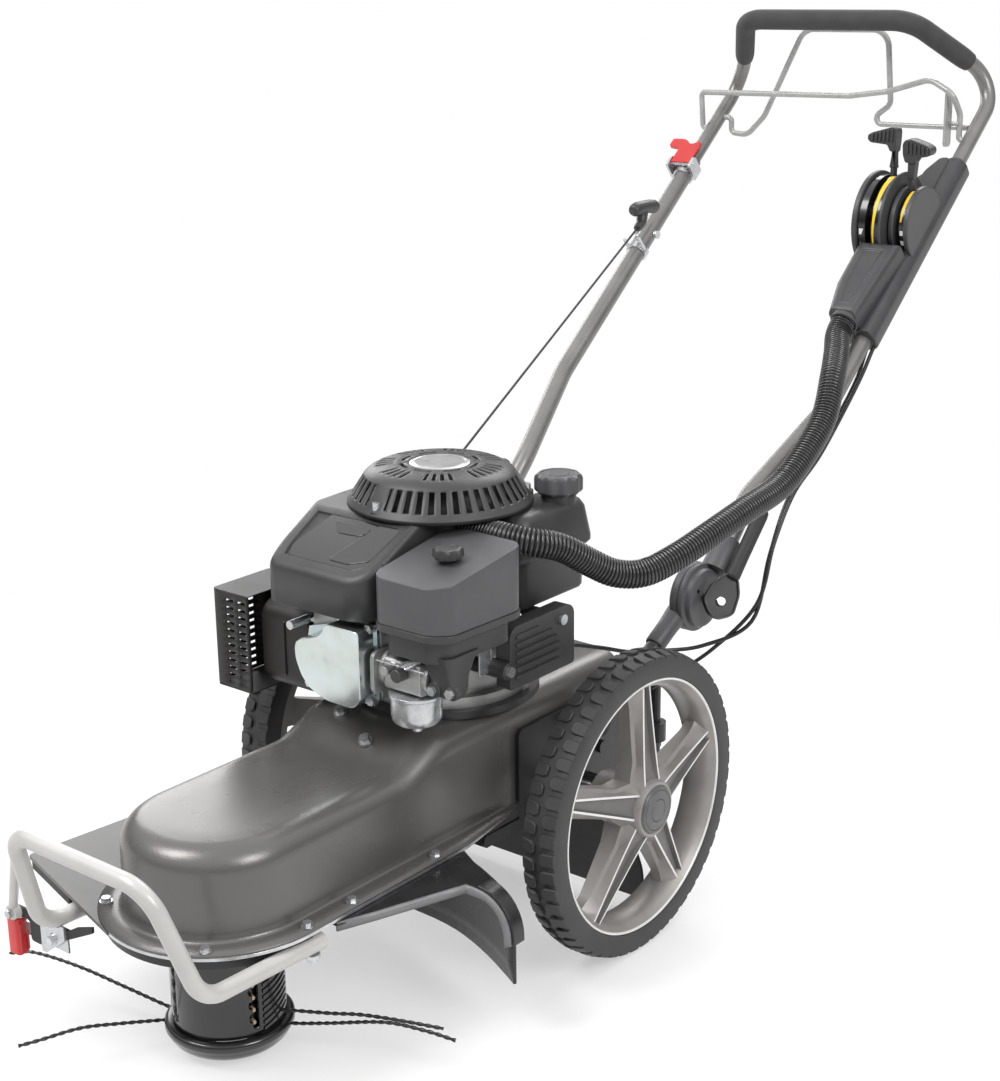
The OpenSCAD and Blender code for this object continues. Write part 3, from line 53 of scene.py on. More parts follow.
def finish(name, light, dark, rough, metal=0.0, blotch=30, grain=900, depth=0.15, coat=0.0):
    mat = bpy.data.materials.new(name)
    mat.use_nodes = True
    nodes, links = mat.node_tree.nodes, mat.node_tree.links
    shader = nodes["Principled BSDF"]
    shader.inputs["Metallic"].default_value = metal
    shader.inputs["Coat Weight"].default_value = coat
    shader.inputs["Coat Roughness"].default_value = 0.12
    spot = nodes.new("ShaderNodeTexCoord")
    cloud = nodes.new("ShaderNodeTexNoise")
    cloud.inputs["Scale"].default_value = blotch
    cloud.inputs["Detail"].default_value = 5
    tint = nodes.new("ShaderNodeValToRGB")
    tint.color_ramp.elements[0].position = 0.32
    tint.color_ramp.elements[1].position = 0.68
    tint.color_ramp.elements[0].color = (*dark, 1)
    tint.color_ramp.elements[1].color = (*light, 1)
    gloss = nodes.new("ShaderNodeMapRange")
    gloss.inputs["From Min"].default_value = 0.3
    gloss.inputs["From Max"].default_value = 0.7
    gloss.inputs["To Min"].default_value = max(rough - 0.03, 0.03)
    gloss.inputs["To Max"].default_value = rough + 0.035
    fine = nodes.new("ShaderNodeTexNoise")
    fine.inputs["Scale"].default_value = grain
    fine.inputs["Detail"].default_value = 3
    relief = nodes.new("ShaderNodeBump")
    relief.inputs["Strength"].default_value = depth
    relief.inputs["Distance"].default_value = 0.0006
    links.new(spot.outputs["Object"], cloud.inputs["Vector"])
    links.new(spot.outputs["Object"], fine.inputs["Vector"])
    links.new(cloud.outputs["Fac"], tint.inputs["Fac"])
    links.new(cloud.outputs["Fac"], gloss.inputs["Value"])
    links.new(tint.outputs["Color"], shader.inputs["Base Color"])
    links.new(gloss.outputs["Result"], shader.inputs["Roughness"])
    links.new(fine.outputs["Fac"], relief.inputs["Height"])
    links.new(relief.outputs["Normal"], shader.inputs["Normal"])
    return mat


def make_piece(name, bm, material, body, nodes=(), seat=axle_seat, edge=0.0, smooth=34):
    bmesh.ops.remove_doubles(bm, verts=bm.verts, dist=0.00002)
    bmesh.ops.transform(bm, matrix=seat, verts=bm.verts)
    bmesh.ops.recalc_face_normals(bm, faces=bm.faces)
    mesh = bpy.data.meshes.new(name)
    bm.to_mesh(mesh)
    bm.free()
    mesh.shade_smooth()
    if not edge:
        mesh.set_sharp_from_angle(angle=math.radians(smooth))
    for mat in material if isinstance(material, list) else [material]:
        mesh.materials.append(mat)
    piece = bpy.data.objects.new(name, mesh)
    bpy.context.scene.collection.objects.link(piece)
    if edge:
        soften = piece.modifiers.new("edges", "BEVEL")
        soften.width = edge / 1000
        soften.segments = 3
        soften.limit_method = "ANGLE"
        soften.angle_limit = math.radians(smooth)
        soften.harden_normals = True
    if body:
        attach(piece, body)
    if nodes:
        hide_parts(*nodes)
    return piece


def chain(bm, points):
    verts = [bm.verts.new(Vector(p) / 1000) for p in points]
    return verts, [bm.edges.new(pair) for pair in zip(verts, verts[1:])]


def pull_edges(bm, edges, vec):
    out = bmesh.ops.extrude_edge_only(bm, edges=edges)["geom"]
    verts = [g for g in out if isinstance(g, bmesh.types.BMVert)]
    fresh = set(verts)
    bmesh.ops.translate(bm, verts=verts, vec=Vector(vec) / 1000)
    return verts, [g for g in out if isinstance(g, bmesh.types.BMEdge) and fresh.issuperset(g.verts)]


def arc(cx, cy, radius, first, last, steps):
    turn = [math.radians(first + (last - first) * k / steps) for k in range(steps + 1)]
    return [(cx + radius * math.cos(a), cy + radius * math.sin(a)) for a in turn]


deck_paint = finish("deck_paint", (0.150, 0.144, 0.140), (0.136, 0.131, 0.127), 0.28, 0.45, 9, 560, 0.28)
deck_side = [(127, 170.5), (108.4, 170.5), (105.2, 171), (103.2, 172.4), (102, 175), (101.5, 180), (100, 238)]
deck_side += arc(72, 238, 28, 15, 90, 5) + [(48, 266.2), (24, 266.4), (0, 266.5)]
bm = bmesh.new()
chain(bm, [(x, -427, z) for x, z in deck_side])
bmesh.ops.spin(bm, geom=bm.verts[:] + bm.edges[:], cent=(0, -0.427, 0), axis=(0, 0, -1), angle=math.pi, steps=40)
whole = [(x, -427, z) for x, z in deck_side] + [(-x, -427, z) for x, z in deck_side[-2::-1]]
verts, run = chain(bm, whole)
deck_steps = [-427, -390, -350, -310] + [-280 + 6 * k for k in range(20)] + [-150, -110, -78, -72, -40, 0, 50, 100, 146]
for near, far in zip(deck_steps, deck_steps[1:]):
    verts, run = pull_edges(bm, run, (0, far - near, 0))
ends = sorted(verts, key=lambda v: v.co.x)
bmesh.ops.edgeloop_fill(bm, edges=run + [bm.edges.new((ends[0], ends[-1]))])
for vert in bm.verts:
    y = vert.co.y * 1000
    ramp = min(max((y + 262) / 84, 0), 1)
    ramp = ramp * ramp * (3 - 2 * ramp)
    vert.co.z += 0.026 * ramp * min(max((vert.co.z - 0.183) / 0.055, 0), 1)
    if abs(vert.co.x) > 0.1001 and y > -180:
        keep = max(0.06, 1 - (y + 180) / 102 * 0.56) if y < -77 else 0.06
        vert.co.x = math.copysign(0.1 + (abs(vert.co.x) - 0.1) * keep, vert.co.x)
bmesh.ops.remove_doubles(bm, verts=bm.verts, dist=0.00002)
rear = [e for e in bm.edges if all(v.co.y > 0.1459 for v in e.verts) and max(v.co.z for v in e.verts) > 0.19]
bmesh.ops.bevel(bm, geom=rear, offset=0.009, segments=4, profile=0.5, affect="EDGES", material=-1)
deck = make_piece("deck_pressing", bm, deck_paint, "frame", ["deck_shell"], smooth=48)
sheet = deck.modifiers.new("sheet", "SOLIDIFY")
sheet.thickness = 0.0023
sheet.offset = -1

# Base plate. A flat steel plate of the deck's own outline, zinc plated and left bright, so that its edge
# shows as a pale line under the flange. A black rolled lip is welded under its nose.
def plate(outline, low, high, axis="Z"):
    bm = bmesh.new()
    order = {"X": (2, 0, 1), "Y": (0, 2, 1), "Z": (0, 1, 2)}[axis]
    bottom = bm.faces.new([bm.verts.new([(a, b, low)[k] / 1000 for k in order]) for a, b in outline])
    raised = bmesh.ops.extrude_face_region(bm, geom=[bottom])["geom"]
    step = Vector([(0, 0, high - low)[k] / 1000 for k in order])
    bmesh.ops.translate(bm, verts=[g for g in raised if isinstance(g, bmesh.types.BMVert)], vec=step)
    return bm


def turned(profile, axis="Z", centre=(0, 0, 0), steps=64, first=0, sweep=360, climb=0):
    bm = bmesh.new()
    base = {"X": lambda r, h: (h, r, 0), "Y": lambda r, h: (0, h, r), "Z": lambda r, h: (r, 0, h)}[axis]
    chain(bm, [base(r, h) for r, h in profile])
    line = {"X": (1, 0, 0), "Y": (0, 1, 0), "Z": (0, 0, 1)}[axis]
    bmesh.ops.rotate(bm, verts=bm.verts, cent=(0, 0, 0), matrix=Matrix.Rotation(math.radians(first), 3, line))
    bmesh.ops.spin(bm, geom=bm.verts[:] + bm.edges[:], cent=(0, 0, 0), axis=line, dvec=Vector(line) * climb / 1000 / steps,
                   angle=math.radians(sweep), steps=steps, use_merge=sweep == 360)
    bmesh.ops.translate(bm, verts=bm.verts, vec=Vector(centre) / 1000)
    return bm


zinc = finish("zinc_plate", (0.66, 0.67, 0.68), (0.50, 0.51, 0.53), 0.27, 0.85, 60, 700, 0.10)
base_outline = [(-126.8, -183), (-126.8, -427)] + arc(0, -427, 126.8, 180, 360, 40)[1:] + [(126.8, -183), (109, -84), (-109, -84)]
make_piece("base_plate", plate(base_outline, 164, 168), zinc, "frame", ["deck_base_plate"], edge=0.6)
lip_paint = finish("black_paint", (0.020, 0.020, 0.021), (0.012, 0.012, 0.013), 0.34, 0.0, 40, 900, 0.2)
lip = turned([(117, 153), (121, 152.4), (121.6, 153), (121.6, 164.2), (117, 164.2), (117, 153)], centre=(0, -427, 0), steps=60, first=176, sweep=188)
make_piece("nose_lip", lip, lip_paint, "frame")

# Deck bolts, line knife and handle fittings. Hex flange bolts and stamped plates in bright zinc.
# The solids are the right shape already, so each only takes the plated finish.
def dress(node, material):
    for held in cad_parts[node].material_slots:
        held.material = material


for node in ("deck_bolts", "line_knife", "handle_hardware", "engine_screws"):
    dress(node, zinc)

# Front bumper. One bent steel tube with welded side strut, painted in a light warm grey.
# It is bolted up under the flange on both sides of the nose.
bumper_paint = finish("bumper_paint", (0.56, 0.55, 0.53), (0.50, 0.49, 0.47), 0.33, 0.1, 18, 1100, 0.12)
dress("front_bumper", bumper_paint)

# Left guard plate with its rubber skirt. The plate is flat sheet steel in grey paint with rounded corners,
# butted against the base plate, and the skirt hangs from its front edge to stop stones.
def round_edges(bm, edges, by, steps=3):
    bmesh.ops.bevel(bm, geom=edges, offset=by / 1000, segments=steps, profile=0.5, affect="EDGES", material=-1, clamp_overlap=True)


def edges_along(bm, axis):
    return [e for e in bm.edges if abs((e.verts[0].co - e.verts[1].co).normalized()["XYZ".index(axis)]) > 0.995]


guard_paint = finish("guard_paint", (0.135, 0.132, 0.130), (0.100, 0.098, 0.096), 0.42, 0.25, 22, 1300, 0.25)
guard_outline = [(-239, -491), (-36, -549.8)] + arc(0, -427, 126.9, 253.5, 180, 20) + [(-126.6, -237), (-211.5, -237)]
bm = plate(guard_outline, 164, 168)
round_edges(bm, [e for e in edges_along(bm, "Z") if e.verts[0].co.x < -0.18], 5, 4)
make_piece("guard_sheet", bm, guard_paint, "frame", ["guard_plate"], edge=0.8)
skirt_seat = axle_seat @ Matrix.Translation((-0.239, -0.491, 0)) @ Matrix.Rotation(math.atan2(-58.8, 203), 4, "Z")
flap_rubber = finish("flap_rubber", (0.028, 0.028, 0.029), (0.018, 0.018, 0.019), 0.56, 0.0, 50, 1600, 0.4)
bm = plate([(4, 152.2), (108, 152.2), (108, 163.9), (4, 163.9)], 2, 6, "Y")
make_piece("guard_skirt_rubber", bm, flap_rubber, "frame", ["guard_skirt"], skirt_seat, edge=0.8)
bm = plate([(-66, 161), (-66, 154), (-109, 132), (-150, 112), (-169, 112), (-169, 135), (-190, 135), (-190, 146), (-176, 146), (-150, 144.2), (-105, 144.2), (-92, 152)], -546, -542, "Y")
round_edges(bm, [e for e in edges_along(bm, "Y") if e.verts[0].co.z < 0.136], 4, 3)
make_piece("knife_flap", bm, flap_rubber, "frame", (), edge=0.6)

# Knife cover. A red moulded cap pushed over the blade that trims the lines, ribbed at its open side.
knife_red = finish("red_plastic", (0.60, 0.022, 0.024), (0.50, 0.014, 0.016), 0.30, 0.0, 30, 800, 0.10, 0.2)
bm = plate([(-203, -552), (-184, -552), (-184, -537), (-203, -537)], 90, 132.4)
round_edges(bm, edges_along(bm, "Z"), 4, 4)
join_ribs = [plate([(-185, y), (-182, y), (-182, y + 2.6), (-185, y + 2.6)], 94, 128) for y in (-550, -541)]
for rib in join_ribs:
    mesh = bpy.data.meshes.new("rib")
    rib.to_mesh(mesh)
    rib.free()
    bm.from_mesh(mesh)
    bpy.data.meshes.remove(mesh)
make_piece("knife_cap", bm, knife_red, "frame", ["knife_cover"], edge=1.4)

# Debris shield. A black moulding bolted along the right flange, with a pale rolled lip, its outer end turned down,
# and under it a tall wall curved round behind the cutting circle to a pointed corner.
shield_black = finish("shield_black", (0.020, 0.020, 0.022), (0.013, 0.013, 0.014), 0.27, 0.0, 30, 1300, 0.12)
shield_rim = finish("shield_rim", (0.20, 0.20, 0.205), (0.16, 0.16, 0.165), 0.34, 0.0, 40, 1300, 0.15)


def turned_down(x):
    return 163.8 - 46 + math.sqrt(max(46 ** 2 - max(x - 192, 0) ** 2, 0))


bend_line = [(192 + 46 * math.sin(math.radians(a)), 117.8 + 46 * math.cos(math.radians(a))) for a in range(0, 91, 10)] + [(238, 111.8)]
bm = plate([(108, -391), (128, -391), (159, -303), (178, -247), (193, -247), (193, -224), (116, -182), (108, -180)], 159.8, 163.7)
end_flap = bmesh.new()
verts, run = chain(end_flap, [(x, -246.6, z) for x, z in bend_line])
pull_edges(end_flap, run, (0, 22, 0))
for vert in end_flap.verts:
    if vert.co.y > -0.23:
        vert.co.y -= 0.004 * max(vert.co.x - 0.192, 0) / 0.046
bmesh.ops.solidify(end_flap, geom=end_flap.faces[:], thickness=0.0034)
mesh = bpy.data.meshes.new("end_flap")
end_flap.to_mesh(mesh)
end_flap.free()
bm.from_mesh(mesh)
bpy.data.meshes.remove(mesh)
make_piece("shield_plate", bm, shield_black, "frame", ["debris_shield"], edge=1.2)
bm = bmesh.new()
lip_line = [(126.6, -390), (143, -347), (158.4, -303), (168, -275), (177.6, -247.4)] + [(x, -247.6) for x in (185, 192)]
lip_line = [(x, y, 163.9) for x, y in lip_line] + [(x, -247.6, z) for x, z in bend_line[1:]]
verts, run = chain(bm, lip_line)
low, run = pull_edges(bm, run, (0, 0, 0))
for vert in low:
    inward = min(max((vert.co.x - 0.192) / 0.046, 0), 1)
    vert.co.z -= 0.0095 * (1 - inward) + 0.004 * inward
    vert.co.x -= 0.0085 * inward
rim = make_piece("shield_lip", bm, shield_rim, "frame", (), smooth=50)
rolled = rim.modifiers.new("rolled", "SOLIDIFY")
rolled.thickness = 0.0028
rolled.offset = 0
bm = bmesh.new()
wall_line = [(24, -183), (42, -183.6), (60, -184), (78, -184.8), (95, -186.6), (112, -189.6), (128, -193.8), (144, -199), (160, -205), (175.5, -211.5), (191, -218.6), (206, -226), (222, -234), (236, -241.6)]
verts, run = chain(bm, [(x, y, 64) for x, y in wall_line])
for k in range(4):
    verts, run = pull_edges(bm, run, (0, 0, 0))
    for vert in verts:
        vert.co.z = 0.064 + (min(turned_down(vert.co.x * 1000) - 2, 160) / 1000 - 0.064) * (k + 1) / 4
wall = make_piece("shield_wall", bm, shield_black, "frame", (), smooth=60)
wall_sheet = wall.modifiers.new("sheet", "SOLIDIFY")
wall_sheet.thickness = 0.0034
wall_sheet.offset = -1

# Chassis, axle and drive. Welded black plates carry the axle and the rear post, the gearbox sits on the axle,
# and the spindle and the crankshaft run on the belt inside the deck. These solids keep their shapes.
bright_steel = finish("bright_steel", (0.60, 0.60, 0.60), (0.46, 0.46, 0.47), 0.26, 1.0, 80, 500, 0.08)
cast_alloy = finish("cast_alloy", (0.52, 0.52, 0.51), (0.38, 0.38, 0.38), 0.44, 0.8, 45, 900, 0.45)
dress("chassis_frame", lip_paint)
for node in ("axle", "spindle", "crankshaft"):
    dress(node, bright_steel)
for node in ("gearbox", "spindle_housing"):
    dress(node, cast_alloy)
dress("cutter_belt", flap_rubber)

# Rear flap. A thick rubber sheet bolted behind the axle, bellied a little backwards by its own weight.
bm = plate([(-152, 160), (-187, 50), (-181, 14), (181, 14), (187, 50), (152, 160)], 62, 66, "Y")
round_edges(bm, [e for e in edges_along(bm, "Y") if e.verts[0].co.z < 0.1], 14, 5)
bmesh.ops.bisect_plane(bm, geom=bm.verts[:] + bm.edges[:] + bm.faces[:], plane_co=(0, 0, 0.12), plane_no=(0, 0, 1))
bmesh.ops.bisect_plane(bm, geom=bm.verts[:] + bm.edges[:] + bm.faces[:], plane_co=(0, 0, 0.08), plane_no=(0, 0, 1))
bmesh.ops.bisect_plane(bm, geom=bm.verts[:] + bm.edges[:] + bm.faces[:], plane_co=(0, 0, 0.04), plane_no=(0, 0, 1))
for vert in bm.verts:
    vert.co.y += 0.010 * ((0.16 - vert.co.z) / 0.146) ** 2
make_piece("rear_flap_rubber", bm, flap_rubber, "frame", ["rear_flap"], edge=1.0)

# Tyres. Solid black rubber rings pressed on the rims, with a flat smooth sidewall and two rows of tongue-shaped
# tread blocks that reach in from the shoulders and stand half a pitch apart.
tyre_rubber = finish("tyre_rubber", (0.040, 0.040, 0.042), (0.026, 0.026, 0.028), 0.52, 0.0, 34, 1400, 0.35)
wheel_names = {"right": 1, "left": -1}


def join(bm, other):
    mesh = bpy.data.meshes.new("joined")
    other.to_mesh(mesh)
    other.free()
    bm.from_mesh(mesh)
    bpy.data.meshes.remove(mesh)


def tread_row(count, turn, flip):
    tongue = [(-7.4, 21.2), (-7.4, 7.6), (-4.2, 3.2), (4.2, 3.2), (7.4, 7.6), (7.4, 21.2)]
    bm = plate(tongue, 171, 177.9)
    top = [f for f in bm.faces if all(v.co.z > 0.177 for v in f.verts)]
    rim = [e for e in top[0].edges]
    bmesh.ops.bevel(bm, geom=rim, offset=0.0009, segments=1, profile=0.5, affect="EDGES", material=-1)
    for vert in bm.verts:
        if vert.co.z > 0.174:
            vert.co.z -= 0.0042 * min(max((vert.co.y - 0.0165) / 0.005, 0), 1)
        vert.co = Vector((flip * vert.co.y, vert.co.x, vert.co.z))
    bmesh.ops.rotate(bm, verts=bm.verts, cent=(0, 0, 0), matrix=Matrix.Rotation(math.radians(turn), 3, "X"))
    bmesh.ops.spin(bm, geom=bm.verts[:] + bm.edges[:] + bm.faces[:], cent=(0, 0, 0), axis=(1, 0, 0),
                   angle=2 * math.pi * (count - 1) / count, steps=count - 1, use_duplicate=True)
    return bm


for side, hand in wheel_names.items():
    wall = [(149.6, -21), (151, -21.5), (170, -21.5), (173, -20.4), (174, -17), (174.4, 0), (174, 17), (173, 20.4), (170, 21.5), (151, 21.5), (149.6, 21), (149.6, -21)]
    bm = turned(wall, "X", steps=120)
    join(bm, tread_row(52, 0, 1))
    join(bm, tread_row(52, 360 / 104, -1))
    wheel_seat = axle_seat @ Matrix.Translation((hand * 0.2165, 0, 0.178)) @ Matrix.Diagonal((hand, 1, 1, 1))
    make_piece("tyre_%s_tread" % side, bm, tyre_rubber, "wheel_" + side, ["tyre_" + side], wheel_seat, smooth=40)

# Rims. Moulded silver-grey wheels with five hat-shaped spokes, each with a sunk channel between two edges,
# a deep barrel and a thick hub that the axle runs in. A pale painted highlight runs along the spoke edges and the rim
# lip, and the channels carry a darker painted shade.
rim_silver = finish("rim_silver", (0.335, 0.320, 0.305), (0.265, 0.252, 0.240), 0.38, 0.35, 28, 1500, 0.22)
# Pale material for the spoke edges and the rim lip: a painted highlight.
rim_highlight = finish("rim_painted_highlight", (0.78, 0.77, 0.75), (0.70, 0.69, 0.67), 0.34, 0.2, 60, 900, 0.1)
# Darker material for the sunk spoke channels: painted shade.
rim_channel_shade = finish("rim_channel_shade", (0.185, 0.178, 0.170), (0.150, 0.144, 0.138), 0.46, 0.3, 40, 1500, 0.2)


def spoke_ring(r):
    out = min(max((r - 30) / 112, 0), 1)
    edge = 13.5 - 8.0 * out
    wide = max(26 - 9 * min((r - 30) / 26, 1), 17) + 9 * max((r - 118) / 24, 0) ** 1.6
    top = 27.5 - 12.5 * out ** 0.8
    sunk = 5.5 * min(out * 4 + 0.25, 1)
    half = [(wide, -9), (wide, top - 13), (wide - 3.5, top - 10), (edge + 1.6, top - 0.2), (edge + 0.5, top), (edge - 0.9, top), (edge - 2.6, top - sunk)]
    return [(h, t, r) for t, h in half] + [(h, -t, r) for t, h in half[::-1]]


for side, hand in wheel_names.items():
    stations = [27, 34, 44, 56, 70, 90, 108, 118, 128, 136, 143]
    bm = bmesh.new()
    verts, run = chain(bm, spoke_ring(stations[0]))
    run.append(bm.edges.new((verts[-1], verts[0])))
    for r in stations[1:]:
        kept = {tuple(round(c, 6) for c in v.co): k for k, v in enumerate(verts)}
        fresh, run = pull_edges(bm, run, (0, 0, 0))
        verts = sorted(fresh, key=lambda v: kept[tuple(round(c, 6) for c in v.co)])
        for vert, spot in zip(verts, spoke_ring(r)):
            vert.co = Vector(spot) / 1000
    for face in bm.faces:
        tang = sorted(abs(v.co.y) for v in face.verts)
        r = sum(v.co.z for v in face.verts) / 4 * 1000
        edge = 13.5 - 8.0 * min(max((r - 30) / 112, 0), 1)
        mid = sum(tang) / 4 * 1000
        lean = abs(face.normal.x)
        # Faces along the spoke edges take the painted highlight, and faces down in the channel take the painted shade.
        if abs(mid - edge) < 1.15 and max(tang) - min(tang) < 0.0032:
            face.material_index = 1
        elif mid < edge - 0.9:
            face.material_index = 2
    bmesh.ops.rotate(bm, verts=bm.verts, cent=(0, 0, 0), matrix=Matrix.Rotation(math.radians(-2), 3, "X"))
    bmesh.ops.spin(bm, geom=bm.verts[:] + bm.edges[:] + bm.faces[:], cent=(0, 0, 0), axis=(1, 0, 0), angle=2 * math.pi * 0.8, steps=4, use_duplicate=True)
    barrel = [(149.3, -19.5), (149.3, 19.4), (148.6, 20.9), (146.8, 20.9), (146.0, 19.6), (141.5, 15.5), (137.5, 8), (135.5, -4), (136.5, -16), (138, -19.5), (149.3, -19.5)]
    ring = turned(barrel, "X", steps=120)
    # The outer face of the rim lip takes the painted highlight too.
    for face in ring.faces:
        if all(v.co.x > 0.0193 for v in face.verts):
            face.material_index = 1
    join(bm, ring)
    join(bm, turned([(8.4, -43), (26, -43), (29, -40), (31, -8), (40, -8), (41.5, -6), (41.5, 0), (38, 12), (35, 20), (34, 24), (33, 30.5), (31.5, 33), (28.5, 33), (28.5, 24), (8.4, 24), (8.4, -43)], "X", steps=72))
    wheel_seat = axle_seat @ Matrix.Translation((hand * 0.2165, 0, 0.178)) @ Matrix.Diagonal((hand, 1, 1, 1))
    make_piece("rim_%s_spokes" % side, bm, [rim_silver, rim_highlight, rim_channel_shade], "wheel_" + side, ["rim_" + side], wheel_seat, smooth=30)

# Hub caps. Dark grey snap-in caps with one turned groove near the rim and one round the middle.
cap_grey = finish("hub_cap_grey", (0.120, 0.121, 0.124), (0.090, 0.091, 0.094), 0.40, 0.1, 40, 1500, 0.2)
for side, hand in wheel_names.items():
    face = [(28.3, 24.2), (28.3, 33.6), (26.6, 35.6), (24.0, 36.3), (23.4, 35.6), (22.6, 36.4), (13.6, 36.9), (13.0, 36.1), (12.2, 36.9), (0, 37.2)]
    wheel_seat = axle_seat @ Matrix.Translation((hand * 0.2165, 0, 0.178)) @ Matrix.Diagonal((hand, 1, 1, 1))
    make_piece("hub_cap_%s_face" % side, turned(face, "X", steps=72), cap_grey, "wheel_" + side, ["hub_cap_" + side], wheel_seat)

# Trimmer head drum. A glossy black moulded drum on the spindle. Its wall has two columns of comb-edged windows
# that show the tan pegs the lines are wound on, and slanted ribs on the trailing side of each column.
head_seat = axle_seat @ Matrix.Translation((0, -0.427, 0))
gloss_black = finish("gloss_black", (0.012, 0.012, 0.013), (0.007, 0.007, 0.008), 0.20, 0.0, 26, 500, 0.06, 0.5)
peg_tan = finish("peg_tan", (0.46, 0.35, 0.24), (0.36, 0.27, 0.18), 0.55, 0.0, 120, 900, 0.2)
rows = 29
drum_wall = [(60.2, 35 + 113.6 * k / rows) for k in range(rows + 1)]
bm = turned([(60.2, 149.6)] + drum_wall[::-1], "Z", steps=96)
bmesh.ops.remove_doubles(bm, verts=bm.verts, dist=0.00002)
window = []
for face in bm.faces:
    spot = face.calc_center_median()
    turn = math.degrees(math.atan2(spot.y, spot.x)) % 180
    row = int((spot.z * 1000 - 35) / 113.6 * rows)
    cell, plain = int((turn - 156) // 3.75), int((turn - 66) // 3.75)
    tooth = row % 4 < 2
    if 2 <= row <= 27 and (cell in (1, 2) or plain == 1 or (0 in (cell, plain) and tooth)):
        window.append(face)
bmesh.ops.delete(bm, geom=window, context="FACES")
drum = make_piece("drum_wall", bm, gloss_black, "head", ["head_drum"], head_seat)
drum_sheet = drum.modifiers.new("wall", "SOLIDIFY")
drum_sheet.thickness = 0.004
drum_sheet.offset = -1
bm = turned([(10.5, 150), (56, 150), (59.6, 149.2), (60.6, 147.8), (60.6, 146), (54, 145), (54, 140), (10.5, 140), (10.5, 150)], steps=96)
for k in range(10):
    join(bm, turned([(48, 38 + 10 * k), (52, 39 + 10 * k), (52, 46 + 10 * k), (48, 47 + 10 * k)], steps=48))
for k in range(14):
    for first in (173, 353):
        join(bm, turned([(59.4, 0), (61.6, 0.5), (61.6, 3.6), (59.4, 4.2), (59.4, 0)], centre=(0, 0, 37 + 7.2 * k), steps=10, first=first, sweep=40, climb=10))
make_piece("drum_ribs", bm, gloss_black, "head", (), head_seat)
bm = bmesh.new()
for k in range(7):
    for first in (163, 343):
        peg = turned([(0, 53), (2.6, 53), (2.6, 58.4), (1.8, 59.4), (0, 59.4)], "X", steps=10)
        bmesh.ops.rotate(peg, verts=peg.verts, cent=(0, 0, 0), matrix=Matrix.Rotation(math.radians(first), 3, "Z"))
        bmesh.ops.translate(peg, verts=peg.verts, vec=(0, 0, 0.049 + 0.0142 * k))
        join(bm, peg)
make_piece("drum_pegs", bm, peg_tan, "head", (), head_seat)

# Head dome. The rolled ring and the smooth bump dome under the drum, that slides over the ground.
dome = [(60, 34), (63.5, 34), (66.5, 33), (68.4, 30.5), (68.4, 25.5), (66.4, 23)] + [(16 + 49.5 * math.sin(math.radians(a)), 23 - 23 * math.cos(math.radians(a))) for a in range(80, -1, -10)] + [(0, 0)]
make_piece("head_dome_ring", turned(dome, steps=96), gloss_black, "head", ["head_dome"], head_seat, smooth=60)

# Engine block and mount ring. A cast aluminium crankcase with cooling fins and four feet, bolted through
# a black steel ring to the deck. Both solids keep their shapes.
engine_seat = axle_seat @ Matrix.Translation((0, -0.070, 0.292))
dress("engine_block", cast_alloy)
dress("mount_ring", lip_paint)

# Valve cover. Deep-drawn sheet with big round corners and a notch for the stud at its upper left, bolted
# on the cylinder head, in zinc plating that shines blue, green and straw.
def loft(rings, caps=True):
    bm = bmesh.new()
    verts, run = chain(bm, rings[0])
    run.append(bm.edges.new((verts[-1], verts[0])))
    if caps:
        bmesh.ops.edgeloop_fill(bm, edges=run)
    for ring in rings[1:]:
        kept = {tuple(round(c, 6) for c in v.co): k for k, v in enumerate(verts)}
        fresh, run = pull_edges(bm, run, (0, 0, 0))
        verts = sorted(fresh, key=lambda v: kept[tuple(round(c, 6) for c in v.co)])
        for vert, spot in zip(verts, ring):
            vert.co = Vector(spot) / 1000
    if caps:
        bmesh.ops.edgeloop_fill(bm, edges=run)
    return bm


zinc_rainbow = finish("zinc_rainbow", (0.70, 0.77, 0.78), (0.47, 0.54, 0.58), 0.19, 0.95, 22, 500, 0.05)
tint = zinc_rainbow.node_tree.nodes["Color Ramp"].color_ramp
straw = tint.elements.new(0.52)
straw.color = (0.66, 0.71, 0.68, 1)
cover_face = [(40, 124), (-9, 124), (-14, 112), (-24, 106), (-50, 98), (-56, 90), (-55, 74), (-47, 56), (-33, 43), (-10, 35), (28, 35), (40, 46)]
bm = plate(cover_face, -184, -156, "Y")
round_edges(bm, edges_along(bm, "Y"), 6, 4)
front = [f for f in bm.faces if all(v.co.y < -0.1839 for v in f.verts)]
round_edges(bm, list(front[0].edges), 8, 5)
join(bm, plate([(43, 126), (-12, 126), (-17, 116), (-58, 104), (-61, 90), (-58, 60), (-56, 34), (-40, 32), (36, 32), (43, 40)], -157.5, -152, "Y"))
make_piece("valve_cover_pressing", bm, zinc_rainbow, "frame", ["valve_cover"], engine_seat, edge=0.7)

# Engine shroud. A matt black moulding over the cylinder with a sloping front, a raised border and a glossy
# smoked panel let into it, screwed to the crankcase round the starter.
black_plastic = finish("black_plastic", (0.043, 0.043, 0.045), (0.033, 0.033, 0.034), 0.37, 0.0, 24, 1700, 0.30)
smoked_panel = finish("smoked_panel", (0.018, 0.018, 0.019), (0.011, 0.011, 0.012), 0.10, 0.0, 12, 300, 0.02, 0.8)


def roof(y):
    return 221.9 + min(y + 96, 0) * 0.5238


